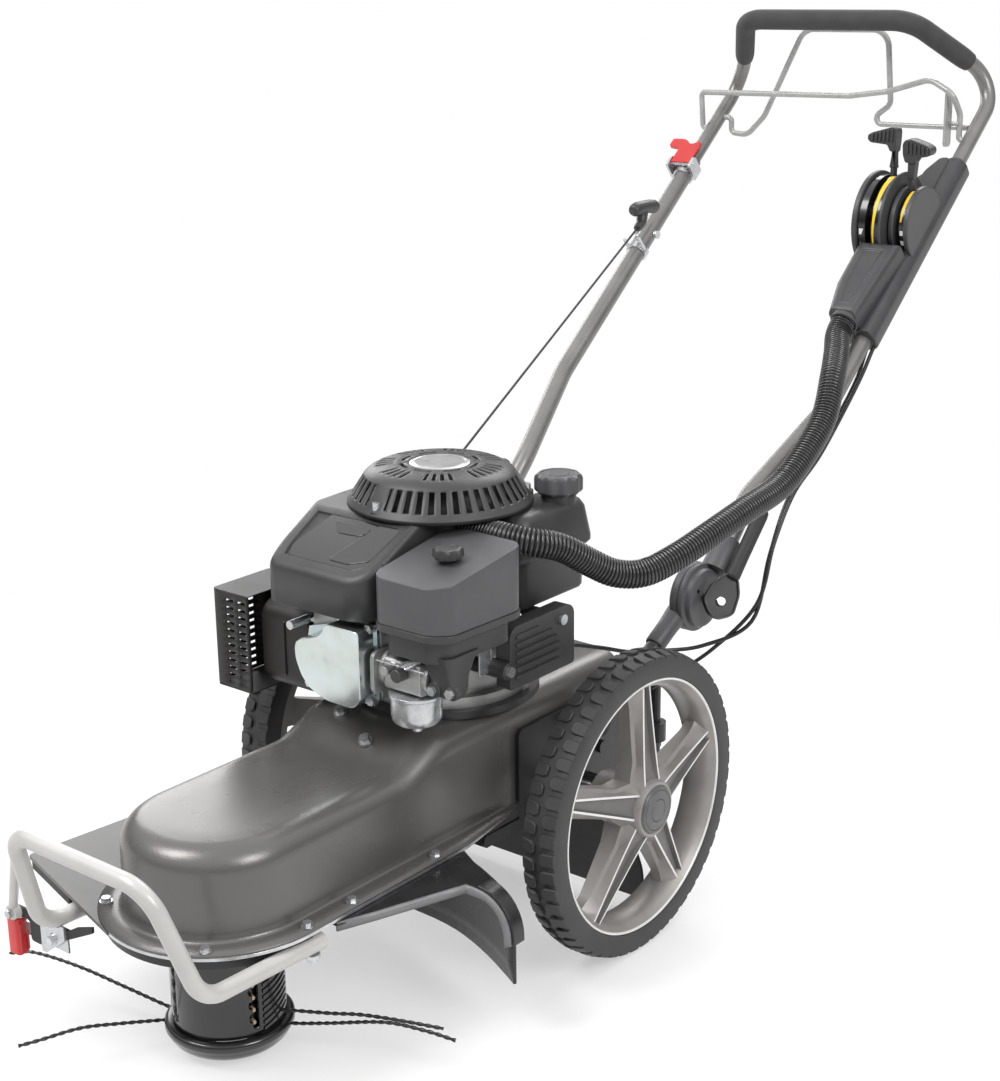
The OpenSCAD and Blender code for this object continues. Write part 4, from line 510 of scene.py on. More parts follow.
hood_plan = [(-104, -156), (-95, -182), (27, -182), (46, -168), (49.5, -60), (57, -45), (57.4, 96)] + arc(0, 0, 112, 60, 180, 24) + [(-111.5, -40)]
bm = plate(hood_plan, 133, 221.9)
round_edges(bm, [e for e in edges_along(bm, "Z") if e.verts[0].co.y < -0.15], 11, 5)
bmesh.ops.bisect_plane(bm, geom=bm.verts[:] + bm.edges[:] + bm.faces[:], plane_co=(0, -0.096, 0.2219), plane_no=(0, -0.464, 0.886), clear_outer=True)
bmesh.ops.holes_fill(bm, edges=[e for e in bm.edges if e.is_boundary])
bmesh.ops.recalc_face_normals(bm, faces=bm.faces)
slope = max((f for f in bm.faces if abs(f.normal.z - 0.886) < 0.02), key=lambda f: f.calc_area())
round_edges(bm, [e for e in slope.edges if min(v.co.y for v in e.verts) < -0.097], 8, 5)
slope = max((f for f in bm.faces if abs(f.normal.z - 0.886) < 0.02), key=lambda f: f.calc_area())
bmesh.ops.inset_region(bm, faces=[slope], thickness=0.009, use_even_offset=True)
bmesh.ops.inset_region(bm, faces=[slope], thickness=0.0012, depth=-0.0024, use_even_offset=True)
bmesh.ops.delete(bm, geom=[f for f in bm.faces if f.normal.z < -0.9], context="FACES")
hood = make_piece("hood_moulding", bm, black_plastic, "frame", ["engine_shroud"], engine_seat, smooth=28)
hood_wall = hood.modifiers.new("wall", "SOLIDIFY")
hood_wall.thickness = 0.003
hood_wall.offset = -1
panel = plate([(-84, -152), (-77, -166), (20, -166), (33, -157), (37, -104)] + arc(0, 0, 106, -70, -126, 12), 0, 1.4)
round_edges(panel, [e for e in edges_along(panel, "Z") if e.verts[0].co.y < -0.15], 5, 4)
raised = plate([(4, -106), (35, -106), (30, -152), (8, -161), (-22, -161)], 1.4, 2.6)
round_edges(raised, edges_along(raised, "Z"), 4, 3)
join(panel, raised)
tab = plate([(-56, -112), (-2, -112), (-6, -124), (-40, -126)], 1.4, 2.3)
round_edges(tab, edges_along(tab, "Z"), 4, 3)
join(panel, tab)
bmesh.ops.bisect_plane(panel, geom=panel.verts[:] + panel.edges[:] + panel.faces[:], plane_co=(0, -0.096, 0), plane_no=(0, 1, 0))
for vert in panel.verts:
    vert.co.z += (roof(vert.co.y * 1000) - 2.0) / 1000
make_piece("hood_panel", panel, smoked_panel, "frame", (), engine_seat, edge=0.7)

# Starter cover. A black moulded bell over the recoil starter with cooling slots round its cone and its top,
# held down by three screws on bosses, with a plain aluminium disc stuck in the middle.
bell = [(104.9, 222), (104.9, 225.6), (103.4, 227.8), (100.6, 231.2), (99.6, 232.8), (85.6, 254), (84.4, 255.4), (80.4, 258.8), (75, 261.6), (71, 263.2), (52, 265.7), (47.5, 265.9), (45, 265.9), (41, 265.9), (36, 265.9), (35.2, 264.8), (0, 264.8)]
bm = turned(bell, steps=176)
bmesh.ops.remove_doubles(bm, verts=bm.verts, dist=0.00002)
slots = []
for face in bm.faces:
    spot = face.calc_center_median()
    out, turn = math.hypot(spot.x, spot.y) * 1000, math.degrees(math.atan2(spot.y, spot.x)) % 360
    cell = int(turn / 360 * 176)
    screw_near = min(abs(turn - a) for a in (265, 40, 152)) < 7.5
    if 91 < out < 95 and cell % 4 < 2 and not screw_near:
        slots.append(face)
    elif 58 < out < 65 and cell % 4 < 2 and cell // 4 % 6 < 4:
        slots.append(face)
    elif 42 < out < 44.5 and cell % 22 < 14:
        slots.append(face)
bmesh.ops.delete(bm, geom=slots, context="FACES")
starter = make_piece("starter_bell", bm, black_plastic, "frame", ["starter_cover"], engine_seat)
starter_wall = starter.modifiers.new("wall", "SOLIDIFY")
starter_wall.thickness = 0.0026
starter_wall.offset = -1
bm = turned([(0, 238), (60, 238), (78, 232), (92, 224), (94, 222)], steps=72)
for a in (265, 40, 152):
    spot = (96 * math.cos(math.radians(a)), 96 * math.sin(math.radians(a)), 0)
    join(bm, turned([(0, 229.8), (6.8, 229.8), (8, 228.8), (8.4, 222)], centre=spot, steps=28))
make_piece("starter_screen", bm, lip_paint, "frame", (), engine_seat)
badge_alloy = finish("badge_alloy", (0.62, 0.62, 0.62), (0.54, 0.54, 0.54), 0.30, 0.9, 90, 1800, 0.06)
make_piece("starter_badge", turned([(0, 266.9), (28.5, 266.7), (29, 266.3), (29.6, 266.7), (32.6, 266.4), (34.2, 265.6), (34.4, 264.6)], steps=72), badge_alloy, "frame", (), engine_seat)

# Fuel tank. Blow-moulded black plastic with a flared shoulder over a plain body, hung on the back of the shroud.
def rounded(x0, x1, y0, y1, r, z, steps=5):
    ring = arc(x1 - r, y1 - r, r, 0, 90, steps) + arc(x0 + r, y1 - r, r, 90, 180, steps) + arc(x0 + r, y0 + r, r, 180, 270, steps) + arc(x1 - r, y0 + r, r, 270, 360, steps)
    return [(x, y, z) for x, y in ring]


tank = [rounded(62, 112, 0, 120, 12, 112), rounded(60, 114, -2, 122, 14, 115), rounded(60, 115, -2, 123, 14, 160), rounded(59, 119, -4, 127, 14, 165), rounded(58.8, 121.5, -6, 129.5, 15, 168),
        rounded(58.8, 121.5, -6, 129.5, 15, 174), rounded(58.8, 119.5, -3, 128, 16, 188), rounded(58.8, 116.5, 2, 125, 16, 208), rounded(59, 113, 6, 121, 16, 215), rounded(61, 108, 11, 116, 14, 218)]
bm = loft(tank)
join(bm, turned([(15, 212), (20, 212), (20, 226.5), (18.6, 228.8), (15, 228.8)], centre=(95, 94, 0), steps=48))
make_piece("fuel_tank_moulding", bm, black_plastic, "frame", ["fuel_tank"], engine_seat, smooth=50)

# Fuel cap. A dark grey screw cap with ten finger lobes and a ringed top.
def lobes(cx, cy, radius, wave, count, z, steps=80):
    turn = [2 * math.pi * k / steps for k in range(steps)]
    return [(cx + (radius + wave * math.cos(count * a)) * math.cos(a), cy + (radius + wave * math.cos(count * a)) * math.sin(a), z) for a in turn]


dark_plastic = finish("dark_plastic", (0.080, 0.080, 0.084), (0.066, 0.066, 0.070), 0.40, 0.0, 24, 1700, 0.28)
cap = [lobes(95, 94, 20.6, 0, 10, 227.4), lobes(95, 94, 24.4, 1.2, 10, 226.6), lobes(95, 94, 26.1, 1.5, 10, 229), lobes(95, 94, 26.1, 1.6, 10, 242), lobes(95, 94, 25.2, 1.2, 10, 245.6), lobes(95, 94, 23.4, 0.3, 10, 247.4), lobes(95, 94, 20.4, 0, 10, 247.7),
       lobes(95, 94, 19.6, 0, 10, 246.8), lobes(95, 94, 12.6, 0, 10, 246.8), lobes(95, 94, 11.8, 0, 10, 247.6), lobes(95, 94, 3, 0, 10, 247.8)]
make_piece("fuel_cap_knob", loft(cap), dark_plastic, "cap", ["fuel_cap"], engine_seat, smooth=30)

# Air filter. A dark grey cover with a sloping lid sits on a black tray, and the tray's leg is bolted to the crankcase.
filter_plan = [(54, -168), (66, -180), (134, -180), (154, -164), (158, -60), (150, -48), (74, -46), (54, -56)]
bm = plate(filter_plan, 140, 240)
round_edges(bm, edges_along(bm, "Z"), 9, 5)
bmesh.ops.bisect_plane(bm, geom=bm.verts[:] + bm.edges[:] + bm.faces[:], plane_co=(0, -0.180, 0.190), plane_no=(0, -0.1644, 0.9864), clear_outer=True)
bmesh.ops.holes_fill(bm, edges=[e for e in bm.edges if e.is_boundary])
bmesh.ops.recalc_face_normals(bm, faces=bm.faces)
lid = max((f for f in bm.faces if f.normal.z > 0.95), key=lambda f: f.calc_area())
round_edges(bm, list(lid.edges), 8, 5)
make_piece("filter_cover_moulding", bm, dark_plastic, "frame", ["air_filter_cover"], engine_seat, smooth=28)
bm = plate([(52.5, -168.5), (65, -181.6), (135, -181.6), (155.6, -165), (159.4, -60), (151, -46.6), (74, -44.6), (52.5, -55)], 131, 139.4)
round_edges(bm, edges_along(bm, "Z"), 9, 5)
tray = plate([(63, -160), (70, -171), (128, -171), (146, -158), (149, -68), (142, -57), (80, -55), (63, -62)], 104, 132)
round_edges(tray, edges_along(tray, "Z"), 8, 4)
join(bm, tray)
join(bm, loft([rounded(106, 150, -166, -112, 9, 112), rounded(110, 150, -164, -120, 9, 100), rounded(115, 149, -160, -128, 7, 86), rounded(115, 150, -158, -131, 6, 74), rounded(116, 148, -156, -132, 6, 64)]))
for x, y in ((123, -159.8), (144, -155.8)):
    join(bm, turned([(0, y), (8.4, y), (8.8, y + 1), (8.8, y + 8)], "Y", centre=(x, 0, 72), steps=28))
make_piece("filter_tray", bm, black_plastic, "frame", ["air_filter_base"], engine_seat, edge=1.2)
knob = [lobes(112, -119, 6, 0, 7, 200), lobes(112, -119, 12, 0, 7, 204.4), lobes(112, -119, 15.2, 0.7, 7, 205.2), lobes(112, -119, 15.8, 1.5, 7, 207), lobes(112, -119, 15.6, 1.5, 7, 213), lobes(112, -119, 14.4, 1.0, 7, 215.4), lobes(112, -119, 11.6, 0.2, 7, 216.2), lobes(112, -119, 10.8, 0, 7, 215.4), lobes(112, -119, 2, 0, 7, 215.6)]
make_piece("filter_knob_lobes", loft(knob), black_plastic, "knob", ["filter_knob"], engine_seat, smooth=30)

# Carburettor. A die-cast body bolted beside the valve cover, with a zinc float bowl, a drain bolt, a choke
# lever, link rods and a black idle screw.
bm = plate([(-164, 60), (-126, 60), (-126, 96), (-164, 96)], 58, 108, "X")
round_edges(bm, edges_along(bm, "X"), 5, 3)
join(bm, turned([(10, 50), (21, 50), (21, 55), (16, 58), (15, 66), (15, 104), (17.5, 107), (17.5, 115), (10.5, 115), (10.5, 96)], "X", centre=(0, -145, 78), steps=40))
flange = plate([(-172, 52), (-120, 52), (-120, 100), (-172, 100)], 44.6, 50, "X")
round_edges(flange, edges_along(flange, "X"), 8, 4)
join(bm, flange)
for y, z in ((-156, 86), (-150, 66), (-134, 90)):
    join(bm, turned([(0, 0), (4, 0), (4, 12), (2, 14), (0, 14)], "Z", centre=(100, y, z), steps=14))
join(bm, turned([(0, -14), (5.5, -14), (5.5, -2), (8, 0), (8, 6), (0, 6)], "Y", centre=(70, -164, 86), steps=20))
make_piece("carburettor_casting", bm, cast_alloy, "frame", ["carburettor"], engine_seat, edge=0.8)
bm = turned([(0, 12), (4.2, 12), (5.6, 13), (5.6, 20), (8, 21), (8, 22), (18, 22.4), (24, 24), (27, 28), (28, 34), (28, 53), (30, 54), (30, 57.6), (26, 58.4), (0, 58.4)], centre=(86, -145, 0), steps=48)
lever = plate([(-160, 96), (-120, 99), (-120, 104), (-160, 104)], 103, 105, "X")
join(bm, lever)
join(bm, turned([(0, -186), (1.5, -186), (1.5, -120), (0, -120)], "Y", centre=(98, 0, 101), steps=10))
join(bm, turned([(0, 50), (1.3, 50), (1.3, 118), (0, 118)], "X", centre=(0, -168, 92), steps=10))
make_piece("float_bowl", bm, zinc, "frame", (), engine_seat, edge=0.5)
spring = turned([(2.6, 0), (3.6, 0.8), (2.6, 1.6), (1.8, 0.8), (2.6, 0)], "Y", centre=(98, -176, 96), steps=140, sweep=3600, climb=24)
make_piece("choke_spring", spring, bright_steel, "frame", (), engine_seat)
make_piece("idle_screw", turned([(0, -178), (6.5, -178), (7.4, -177), (7.4, -166), (5, -164)], "Y", centre=(86, 0, 84), steps=24), black_plastic, "frame", (), engine_seat)

# Muffler and its guard. A pressed steel silencer in heat-proof black, inside a black guard with two columns
# of slots down its front and a row down its side.
muffler_black = finish("muffler_black", (0.028, 0.025, 0.024), (0.016, 0.015, 0.014), 0.42, 0.3, 20, 1300, 0.35)
bm = plate([(-146, 12), (-68, 12), (-68, 112), (-146, 112)], -146, -72, "X")
round_edges(bm, edges_along(bm, "X"), 20, 6)
bmesh.ops.bisect_plane(bm, geom=bm.verts[:] + bm.edges[:] + bm.faces[:], plane_co=(-0.110, 0, 0), plane_no=(1, 0, 0))
join(bm, plate([(-148, 32), (-148, 92), (-145, 96), (-145, 28)], -112, -108, "X"))
join(bm, turned([(0, -72), (15, -72), (15, -64.2), (0, -64.2)], "X", centre=(0, -118, 74), steps=32))
make_piece("muffler_can", bm, muffler_black, "frame", ["muffler"], engine_seat, edge=6)
guard_line = [(-150, -162), (-155, -162), (-168, -162), (-174, -162), (-187, -162), (-196, -162), (-203, -162), (-206.4, -160.6), (-208, -157), (-208, -144), (-208, -100), (-208, -84), (-208, -75), (-206.4, -71.6), (-203, -70), (-190, -70)]
bm = bmesh.new()
verts, run = chain(bm, [(x, y, 4) for x, y in guard_line])
rows = [4, 8] + [8 + step for k in range(12) for step in (9 * k + 3.6, 9 * k + 9)] + [118]
for low, high in zip(rows, rows[1:]):
    verts, run = pull_edges(bm, run, (0, 0, high - low))
vents = []
for face in bm.faces:
    spot = face.calc_center_median() * 1000
    slit = 3 < max(v.co.z for v in face.verts) * 1000 - min(v.co.z for v in face.verts) * 1000 < 4
    if slit and (abs(spot.x + 161.5) < 1 or abs(spot.x + 180.5) < 1 or (spot.x < -207 and -130 < spot.y < -110)):
        vents.append(face)
bmesh.ops.delete(bm, geom=vents, context="FACES")
for level in (2, 118):
    join(bm, plate([(-150, -162), (-203, -162), (-206.4, -160.6), (-208, -157), (-208, -75), (-206.4, -71.6), (-203, -70), (-150, -70)], level, level + 1.2))
guard = make_piece("muffler_guard_pressing", bm, muffler_black, "frame", ["muffler_guard"], engine_seat, smooth=40)
guard_wall = guard.modifiers.new("wall", "SOLIDIFY")
guard_wall.thickness = 0.0018
guard_wall.offset = -1

# Linkage cover and throttle bracket. A ribbed black moulding screwed over the governor links, beside a folded
# zinc bracket that holds the throttle wire.
bm = plate([(-52, 40), (64, 40), (64, 104), (56, 112), (-44, 112), (-52, 104)], 120, 139.8, "X")
round_edges(bm, edges_along(bm, "X"), 5, 3)
join(bm, turned([(0, 84), (10, 84), (10, 139), (9, 140), (0, 140)], "X", centre=(0, -54, 64), steps=32))
for y, z in ((-34, 58), (40, 98)):
    join(bm, turned([(0, 86), (7, 86), (7, 124), (0, 124)], "X", centre=(0, y, z), steps=20))
for k, (y0, y1) in enumerate(((-40, 36), (-40, 36), (-40, 36), (-40, 30), (-40, 22), (-40, -2))):
    rib = plate([(y0, 50 + 9.4 * k), (y1, 50 + 9.4 * k), (y1 + 3, 52.6 + 9.4 * k), (y1, 55.2 + 9.4 * k), (y0, 55.2 + 9.4 * k), (y0 - 3, 52.6 + 9.4 * k)], 139, 142, "X")
    join(bm, rib)
make_piece("linkage_cover_ribs", bm, black_plastic, "frame", ["linkage_cover"], engine_seat, edge=1.1)
bm = plate([(-78, 60), (-58, 60), (-58, 126), (-66, 132), (-78, 126)], 116, 118, "X")
join(bm, plate([(96, -58), (118, -58), (118, -56), (96, -56)], 60, 120))
join(bm, turned([(0, 112), (5, 112), (5, 121), (4, 122), (0, 122)], "X", centre=(0, -68, 116), steps=16))
join(bm, turned([(0, -110), (1.4, -110), (1.4, -40), (0, -40)], "Y", centre=(120, 0, 104), steps=10))
make_piece("throttle_bracket", bm, zinc, "frame", (), engine_seat, edge=0.5)

# Handle pivots. Moulded discs with stub sleeves on black bent posts, one pair a side, pressed together by a
# bolt so that the handle can be set higher or lower.
def sweep(path, radius, steps=20, wave=0.0, turns=0, caps=True):
    spots = [Vector(p) for p in path]
    radii = radius if isinstance(radius, list) else [radius] * len(spots)
    rings, side = [], None
    for k, spot in enumerate(spots):
        ahead = (spots[min(k + 1, len(spots) - 1)] - spots[max(k - 1, 0)]).normalized()
        side = ahead.orthogonal() if side is None else side
        side = (side - ahead * side.dot(ahead)).normalized()
        over = ahead.cross(side)
        twist = 2 * math.pi * turns * k / len(spots)
        around = [2 * math.pi * m / steps for m in range(steps)]
        rings.append([spot + (side * math.cos(a) + over * math.sin(a)) * radii[k] * (1 - wave * (1 - math.cos(2 * (a - twist)))) for a in around])
    return loft(rings, caps)


def fillet(points, radius, steps=8):
    spots = [Vector(p) for p in points]
    path = [spots[0]]
    for before, spot, after in zip(spots, spots[1:], spots[2:]):
        a, b = (before - spot).normalized(), (after - spot).normalized()
        half = a.angle(b) / 2
        centre = spot + (a + b).normalized() * radius / math.sin(half)
        first, last = (spot + a * radius / math.tan(half) - centre).normalized(), (spot + b * radius / math.tan(half) - centre).normalized()
        path += [centre + first.slerp(last, k / steps) * radius for k in range(steps + 1)]
    return path + [spots[-1]]


def both_sides(bm):
    copy = bm.copy()
    bmesh.ops.scale(copy, vec=(-1, 1, 1), verts=copy.verts)
    bmesh.ops.reverse_faces(copy, faces=copy.faces)
    join(bm, copy)
    return bm


up_line, down_line, hinge = Vector((0, 0.70006, 0.71408)), Vector((0, -0.8710, -0.4913)), Vector((157, 205, 358))
bm = turned([(0, 150), (28, 150), (37, 151.4), (41, 154), (42, 156.6), (42, 161.6), (40.8, 163.7), (0, 163.7)], "X", centre=(0, 205, 358), steps=72)
join(bm, sweep([hinge + down_line * s for s in (26, 40, 48, 56, 85.6, 87.6)], [14, 13.6, 12.9, 12.5, 12.4, 11.2], 32))
make_piece("pivot_base_discs", both_sides(bm), dark_plastic, "frame", ["pivot_bases"], smooth=40)
bm = sweep(fillet([hinge + down_line * 70, (157, 102, 300), (118, 62, 230)], 34), 9.5, 28)
join(bm, turned([(0, 106), (14.6, 106), (16, 107.4), (16, 130.6), (14.6, 132), (0, 132)], "X", centre=(0, 62, 230), steps=36))
make_piece("pivot_posts", both_sides(bm), lip_paint, "frame", (), smooth=40)
bm = turned([(0, 150), (4.9, 150), (4.9, 197.4), (4.2, 198.6), (0, 198.9)], "X", centre=(0, 205, 358), steps=24)
make_piece("pivot_bolts", both_sides(bm), bright_steel, "frame", (), smooth=40)
bm = turned([(5.6, 164.3), (40.8, 164.3), (42, 165.8), (42, 169.2), (40.8, 170.8), (37.4, 171.4), (36, 172.8), (35.8, 176.8), (34.6, 178.8), (31.4, 179.7), (5.6, 179.9)], "X", centre=(0, 205, 358), steps=72)
top = Vector((173, 205, 358))
join(bm, sweep([top + up_line * s for s in (38.2, 47, 55, 80, 82)], [16.9, 16.9, 16.4, 16.4, 15], 32))
make_piece("pivot_upper_discs", both_sides(bm), dark_plastic, "handle", ["pivot_uppers"], smooth=40)
bm = turned([(0, 179.4), (2.6, 179.4), (2.6, 180), (0, 180)], "X", centre=(0, 187, 372), steps=20)
make_piece("pivot_dimples", both_sides(bm), gloss_black, "handle", (), smooth=40)

# Clamp levers. A pressed steel cam plate with a turned-up rim, a bent link and a rubber sleeve to pull on.
clamp_black = finish("clamp_black", (0.016, 0.016, 0.017), (0.010, 0.010, 0.011), 0.48, 0.0, 40, 1100, 0.15)
for side_name, side_sign in wheel_names.items():
    clamp_seat = axle_seat @ Matrix.Translation((side_sign * 0.1804, 0.205, 0.358)) @ Matrix.Rotation(math.atan2(0.71408, 0.70006), 4, "X") @ Matrix.Diagonal((side_sign, 1, 1, 1))
    tilt_seat = clamp_seat @ Matrix.Translation((0.019, 0, 0)) @ Matrix.Rotation(math.radians(-45), 4, "Y")
    bm = plate([(-21, -7), (-21, 7), (-8, 21), (18, 18), (36, 8), (36, -8), (18, -18), (-8, -21)], -4.3, 4.3, "X")
    round_edges(bm, edges_along(bm, "X"), 5, 4)
    bmesh.ops.recalc_face_normals(bm, faces=bm.faces)
    dish = [f for f in bm.faces if all(v.co.x > 0.0042 for v in f.verts)]
    bmesh.ops.inset_region(bm, faces=dish, thickness=0.0018, use_even_offset=True)
    bmesh.ops.inset_region(bm, faces=dish, thickness=0.0008, depth=-0.003, use_even_offset=True)
    make_piece("clamp_plate_" + side_name, bm, clamp_black, "clamp_" + side_name, ["clamp_lever_" + side_name], tilt_seat, smooth=40)
    cap_disc = turned([(0, 5.4), (4.6, 5.2), (5.6, 4.4), (5.6, 0.6), (0, 0.6)], "X", steps=32)
    make_piece("clamp_cap_" + side_name, cap_disc, bright_steel, "clamp_" + side_name, (), tilt_seat)
    stations = ((32, 6.4), (33.4, 8.2), (36, 9), (60, 8.7), (90, 8.8), (122, 9), (127.6, 8.2), (130.8, 5.8), (132, 2))
    sleeve = sweep([(20, s, 0) for s, r in stations], [r for s, r in stations], 28)
    make_piece("clamp_sleeve_" + side_name, sleeve, flap_rubber, "clamp_" + side_name, (), clamp_seat, smooth=50)

# Handle tubes and wire bails. Powder-coated steel tubes, the upper loop slid into the lower pair, and two bails
# of thick grey wire hooked into holes in the loop. All keep their solid shapes.
tube_paint = finish("tube_paint", (0.235, 0.229, 0.224), (0.200, 0.195, 0.191), 0.33, 0.45, 30, 600, 0.08)
wire_grey = finish("wire_grey", (0.40, 0.40, 0.395), (0.34, 0.34, 0.335), 0.28, 0.2, 60, 900, 0.1)
dress("handle_lower", tube_paint)
dress("handle_upper", tube_paint)
dress("bail_drive", wire_grey)
dress("bail_stop", wire_grey)

# Foam grip. A soft closed-cell foam sleeve, slid on round both bends of the loop.
foam_grey = finish("foam_grey", (0.052, 0.052, 0.053), (0.036, 0.036, 0.037), 0.72, 0.0, 60, 1500, 0.8)
corner, bend = Vector((205, 885, 925)), Vector((128.5, 761, 1012))
half = fillet([corner + (bend - corner).normalized() * 59.4, bend, (0, 761, 1012)], 44, 14)
half = [half[0] + (half[1] - half[0]) * k / 8 for k in range(8)] + half[1:-1] + [(78 - 13 * k, 761, 1012) for k in range(6)]
loop = half + [(0, 761, 1012)] + [(-p[0], p[1], p[2]) for p in half[::-1]]
foam_radii = [12.4, 13.7] + [13.95] * (len(loop) - 4) + [13.7, 12.4]
foam = make_piece("grip_sleeve", sweep(loop, foam_radii, 32), foam_grey, "handle", ["grip_foam"], smooth=60)

# Handle latch and starter grip. A red moulded latch turns on a pin over the left tube, and the black grip of
# the starter rope hangs in the wire hook below it.
tube_seat = axle_seat @ Matrix.Translation((0, 0.430, 0.549)) @ Matrix.Rotation(math.radians(39.57), 4, "X")
bm = plate([(-221.4, 386.8), (-188.6, 386.8), (-188.6, 424), (-193, 432), (-200, 426), (-207, 424), (-214, 431), (-222, 433.6), (-240.6, 433), (-240.6, 418), (-221.4, 415)], 17, 22.6)
round_edges(bm, edges_along(bm, "Z"), 3, 3)
for end in (-221.4, -191.6):
    cheek = plate([(386.8, 17), (424, 17), (418, 20), (404, 22.8), (386.8, 22.8)], end, end + 3, "X")
    join(bm, cheek)
make_piece("latch_moulding", bm, knife_red, "latch", ["handle_latch"], tube_seat, edge=0.9)
make_piece("latch_pin", turned([(0, -226.6), (2.4, -226.6), (3, -226), (3, -184), (2.4, -183.4), (0, -183.4)], "X", centre=(0, 388.25, 18), steps=20), bright_steel, "latch", (), tube_seat)
rope_top, rope_end = Vector((-190, 597.2, 739.1)), Vector((-47, 6, 531))
rope_line = (rope_end - rope_top).normalized()
stations = ((-25, 4), (-23.6, 7), (-20, 9.2), (-12, 9.8), (4, 9), (18, 9.6), (28, 9.6), (33, 7.6), (35.4, 4))
bm = sweep([rope_top + Vector((0, y, 21 - 0.004 * (y - 5) ** 2)) for y, r in stations], [r for y, r in stations], 28)
join(bm, sweep([rope_top + Vector((0, 2, 19)), rope_top + Vector((0, 0, 11)), rope_top + rope_line * 4, rope_top + rope_line * 16, rope_top + rope_line * 21], [8.4, 8.2, 7.2, 6.4, 5], 24))
make_piece("starter_grip", bm, black_plastic, "recoil", ["recoil_handle"], smooth=50)

# Control box. A long black channel clipped over the right tube, a bolted cover with a sunk panel where the
# conduit enters, and two arched quadrants with a slot and a plain yellow wedge for each lever.
box_plastic = finish("box_plastic", (0.058, 0.058, 0.061), (0.045, 0.045, 0.048), 0.34, 0.0, 26, 1500, 0.3)
bm = plate([(192, -17), (217, -17), (225, -9), (225, 10), (218, 21.6), (206, 21.6), (197, 16)], 118, 428, "Y")
round_edges(bm, edges_along(bm, "Y"), 4, 4)
base = plate([(171, 118), (200, 118), (200, 428), (189, 428), (175, 400), (151, 372), (151, 250), (159, 236), (165, 162)], -17, 17)
round_edges(base, edges_along(base, "Z"), 6, 4)
join(bm, base)
crown = plate([(176, 334), (204, 334), (204, 427), (190.4, 427), (177, 400)], 8, 21.6)
round_edges(crown, edges_along(crown, "Z"), 5, 3)
join(bm, crown)
make_piece("control_channel", bm, box_plastic, "handle", ["control_box"], tube_seat, edge=2.2)
bm = plate([(167.4, 122), (206.6, 122), (216.6, 245.6), (157.4, 245.6), (157.4, 172)], 14, 49.6)
lid = [f for f in bm.faces if all(v.co.z > 0.0495 for v in f.verts)]
round_edges(bm, list(lid[0].edges), 11, 6)
bmesh.ops.recalc_face_normals(bm, faces=bm.faces)
lid = [max((f for f in bm.faces if f.normal.z > 0.99), key=lambda f: f.calc_area())]
bmesh.ops.inset_region(bm, faces=lid, thickness=0.0045, use_even_offset=True)
bmesh.ops.inset_region(bm, faces=lid, thickness=0.0016, depth=-0.0018, use_even_offset=True)
make_piece("control_cover", bm, box_plastic, "handle", (), tube_seat, edge=1.6)
bm = turned([(16.2, 118.2), (18, 118.2), (18.8, 119), (18.8, 124), (16.2, 125)], "Y", centre=(188, 0, 31), steps=44)
make_piece("conduit_collar", bm, box_plastic, "handle", (), tube_seat)
def arch(radius, first):
    return [(300 + radius * math.cos(math.radians(a)), 26 + radius * math.sin(math.radians(a))) for a in [first + (180 - 2 * first) * k / 48 for k in range(49)]]


for name, low, high, radius, lever_x, first in (("throttle", 150, 192, 66, 172, -38), ("gear", 194, 222, 49, 203, -14)):
    bm = plate(arch(radius, first), low, low + 7, "X")
    join(bm, plate(arch(radius, first), high - (4 if name == "throttle" else 7), high, "X"))
    make_piece(name + "_quadrant", bm, box_plastic, "handle", (), tube_seat, edge=1.8)
    bm = plate(arch(radius - 4.6, first), low + 6, lever_x - 4.2, "X")
    join(bm, plate(arch(radius - 24, first), lever_x - 5, lever_x + 5, "X"))
    join(bm, plate(arch(radius - 4.6, first), lever_x + 4.2, high - 3, "X"))
    make_piece(name + "_track", bm, gloss_black, "handle", (), tube_seat, edge=0.5)
scale_yellow = finish("scale_yellow", (0.85, 0.58, 0.03), (0.78, 0.50, 0.02), 0.40, 0.0, 60, 900, 0.1)
tick_white = finish("tick_white", (0.80, 0.80, 0.79), (0.72, 0.72, 0.71), 0.42, 0.0, 60, 900, 0.1)


def wedge(x, radius, first, last, thin, thick, steps=20):
    rings = []
    for k in range(steps + 1):
        a, w = math.radians(first + (last - first) * k / steps), thin + (thick - thin) * k / steps
        rings.append([(x + u, 300 + r * math.cos(a), 26 + r * math.sin(a)) for u, r in ((0, radius - 0.4), (w, radius - 0.4), (w, radius + 0.4), (0, radius + 0.4))])
    return loft(rings)


bm = wedge(178, 61.4, 160, 62, 2, 7.4)
join(bm, wedge(208.6, 44.4, 132, 66, 2, 7))
make_piece("lever_scales", bm, scale_yellow, "handle", (), tube_seat)
bm = wedge(178, 61.4, 172, 166, 6, 6, 3)
for first in (168, 150):
    join(bm, wedge(160, 61.4, first, first - 7, 3, 6, 3))
    join(bm, wedge(209, 44.4, first + 4, first - 4, 5, 5, 2))
make_piece("lever_ticks", bm, tick_white, "handle", (), tube_seat)

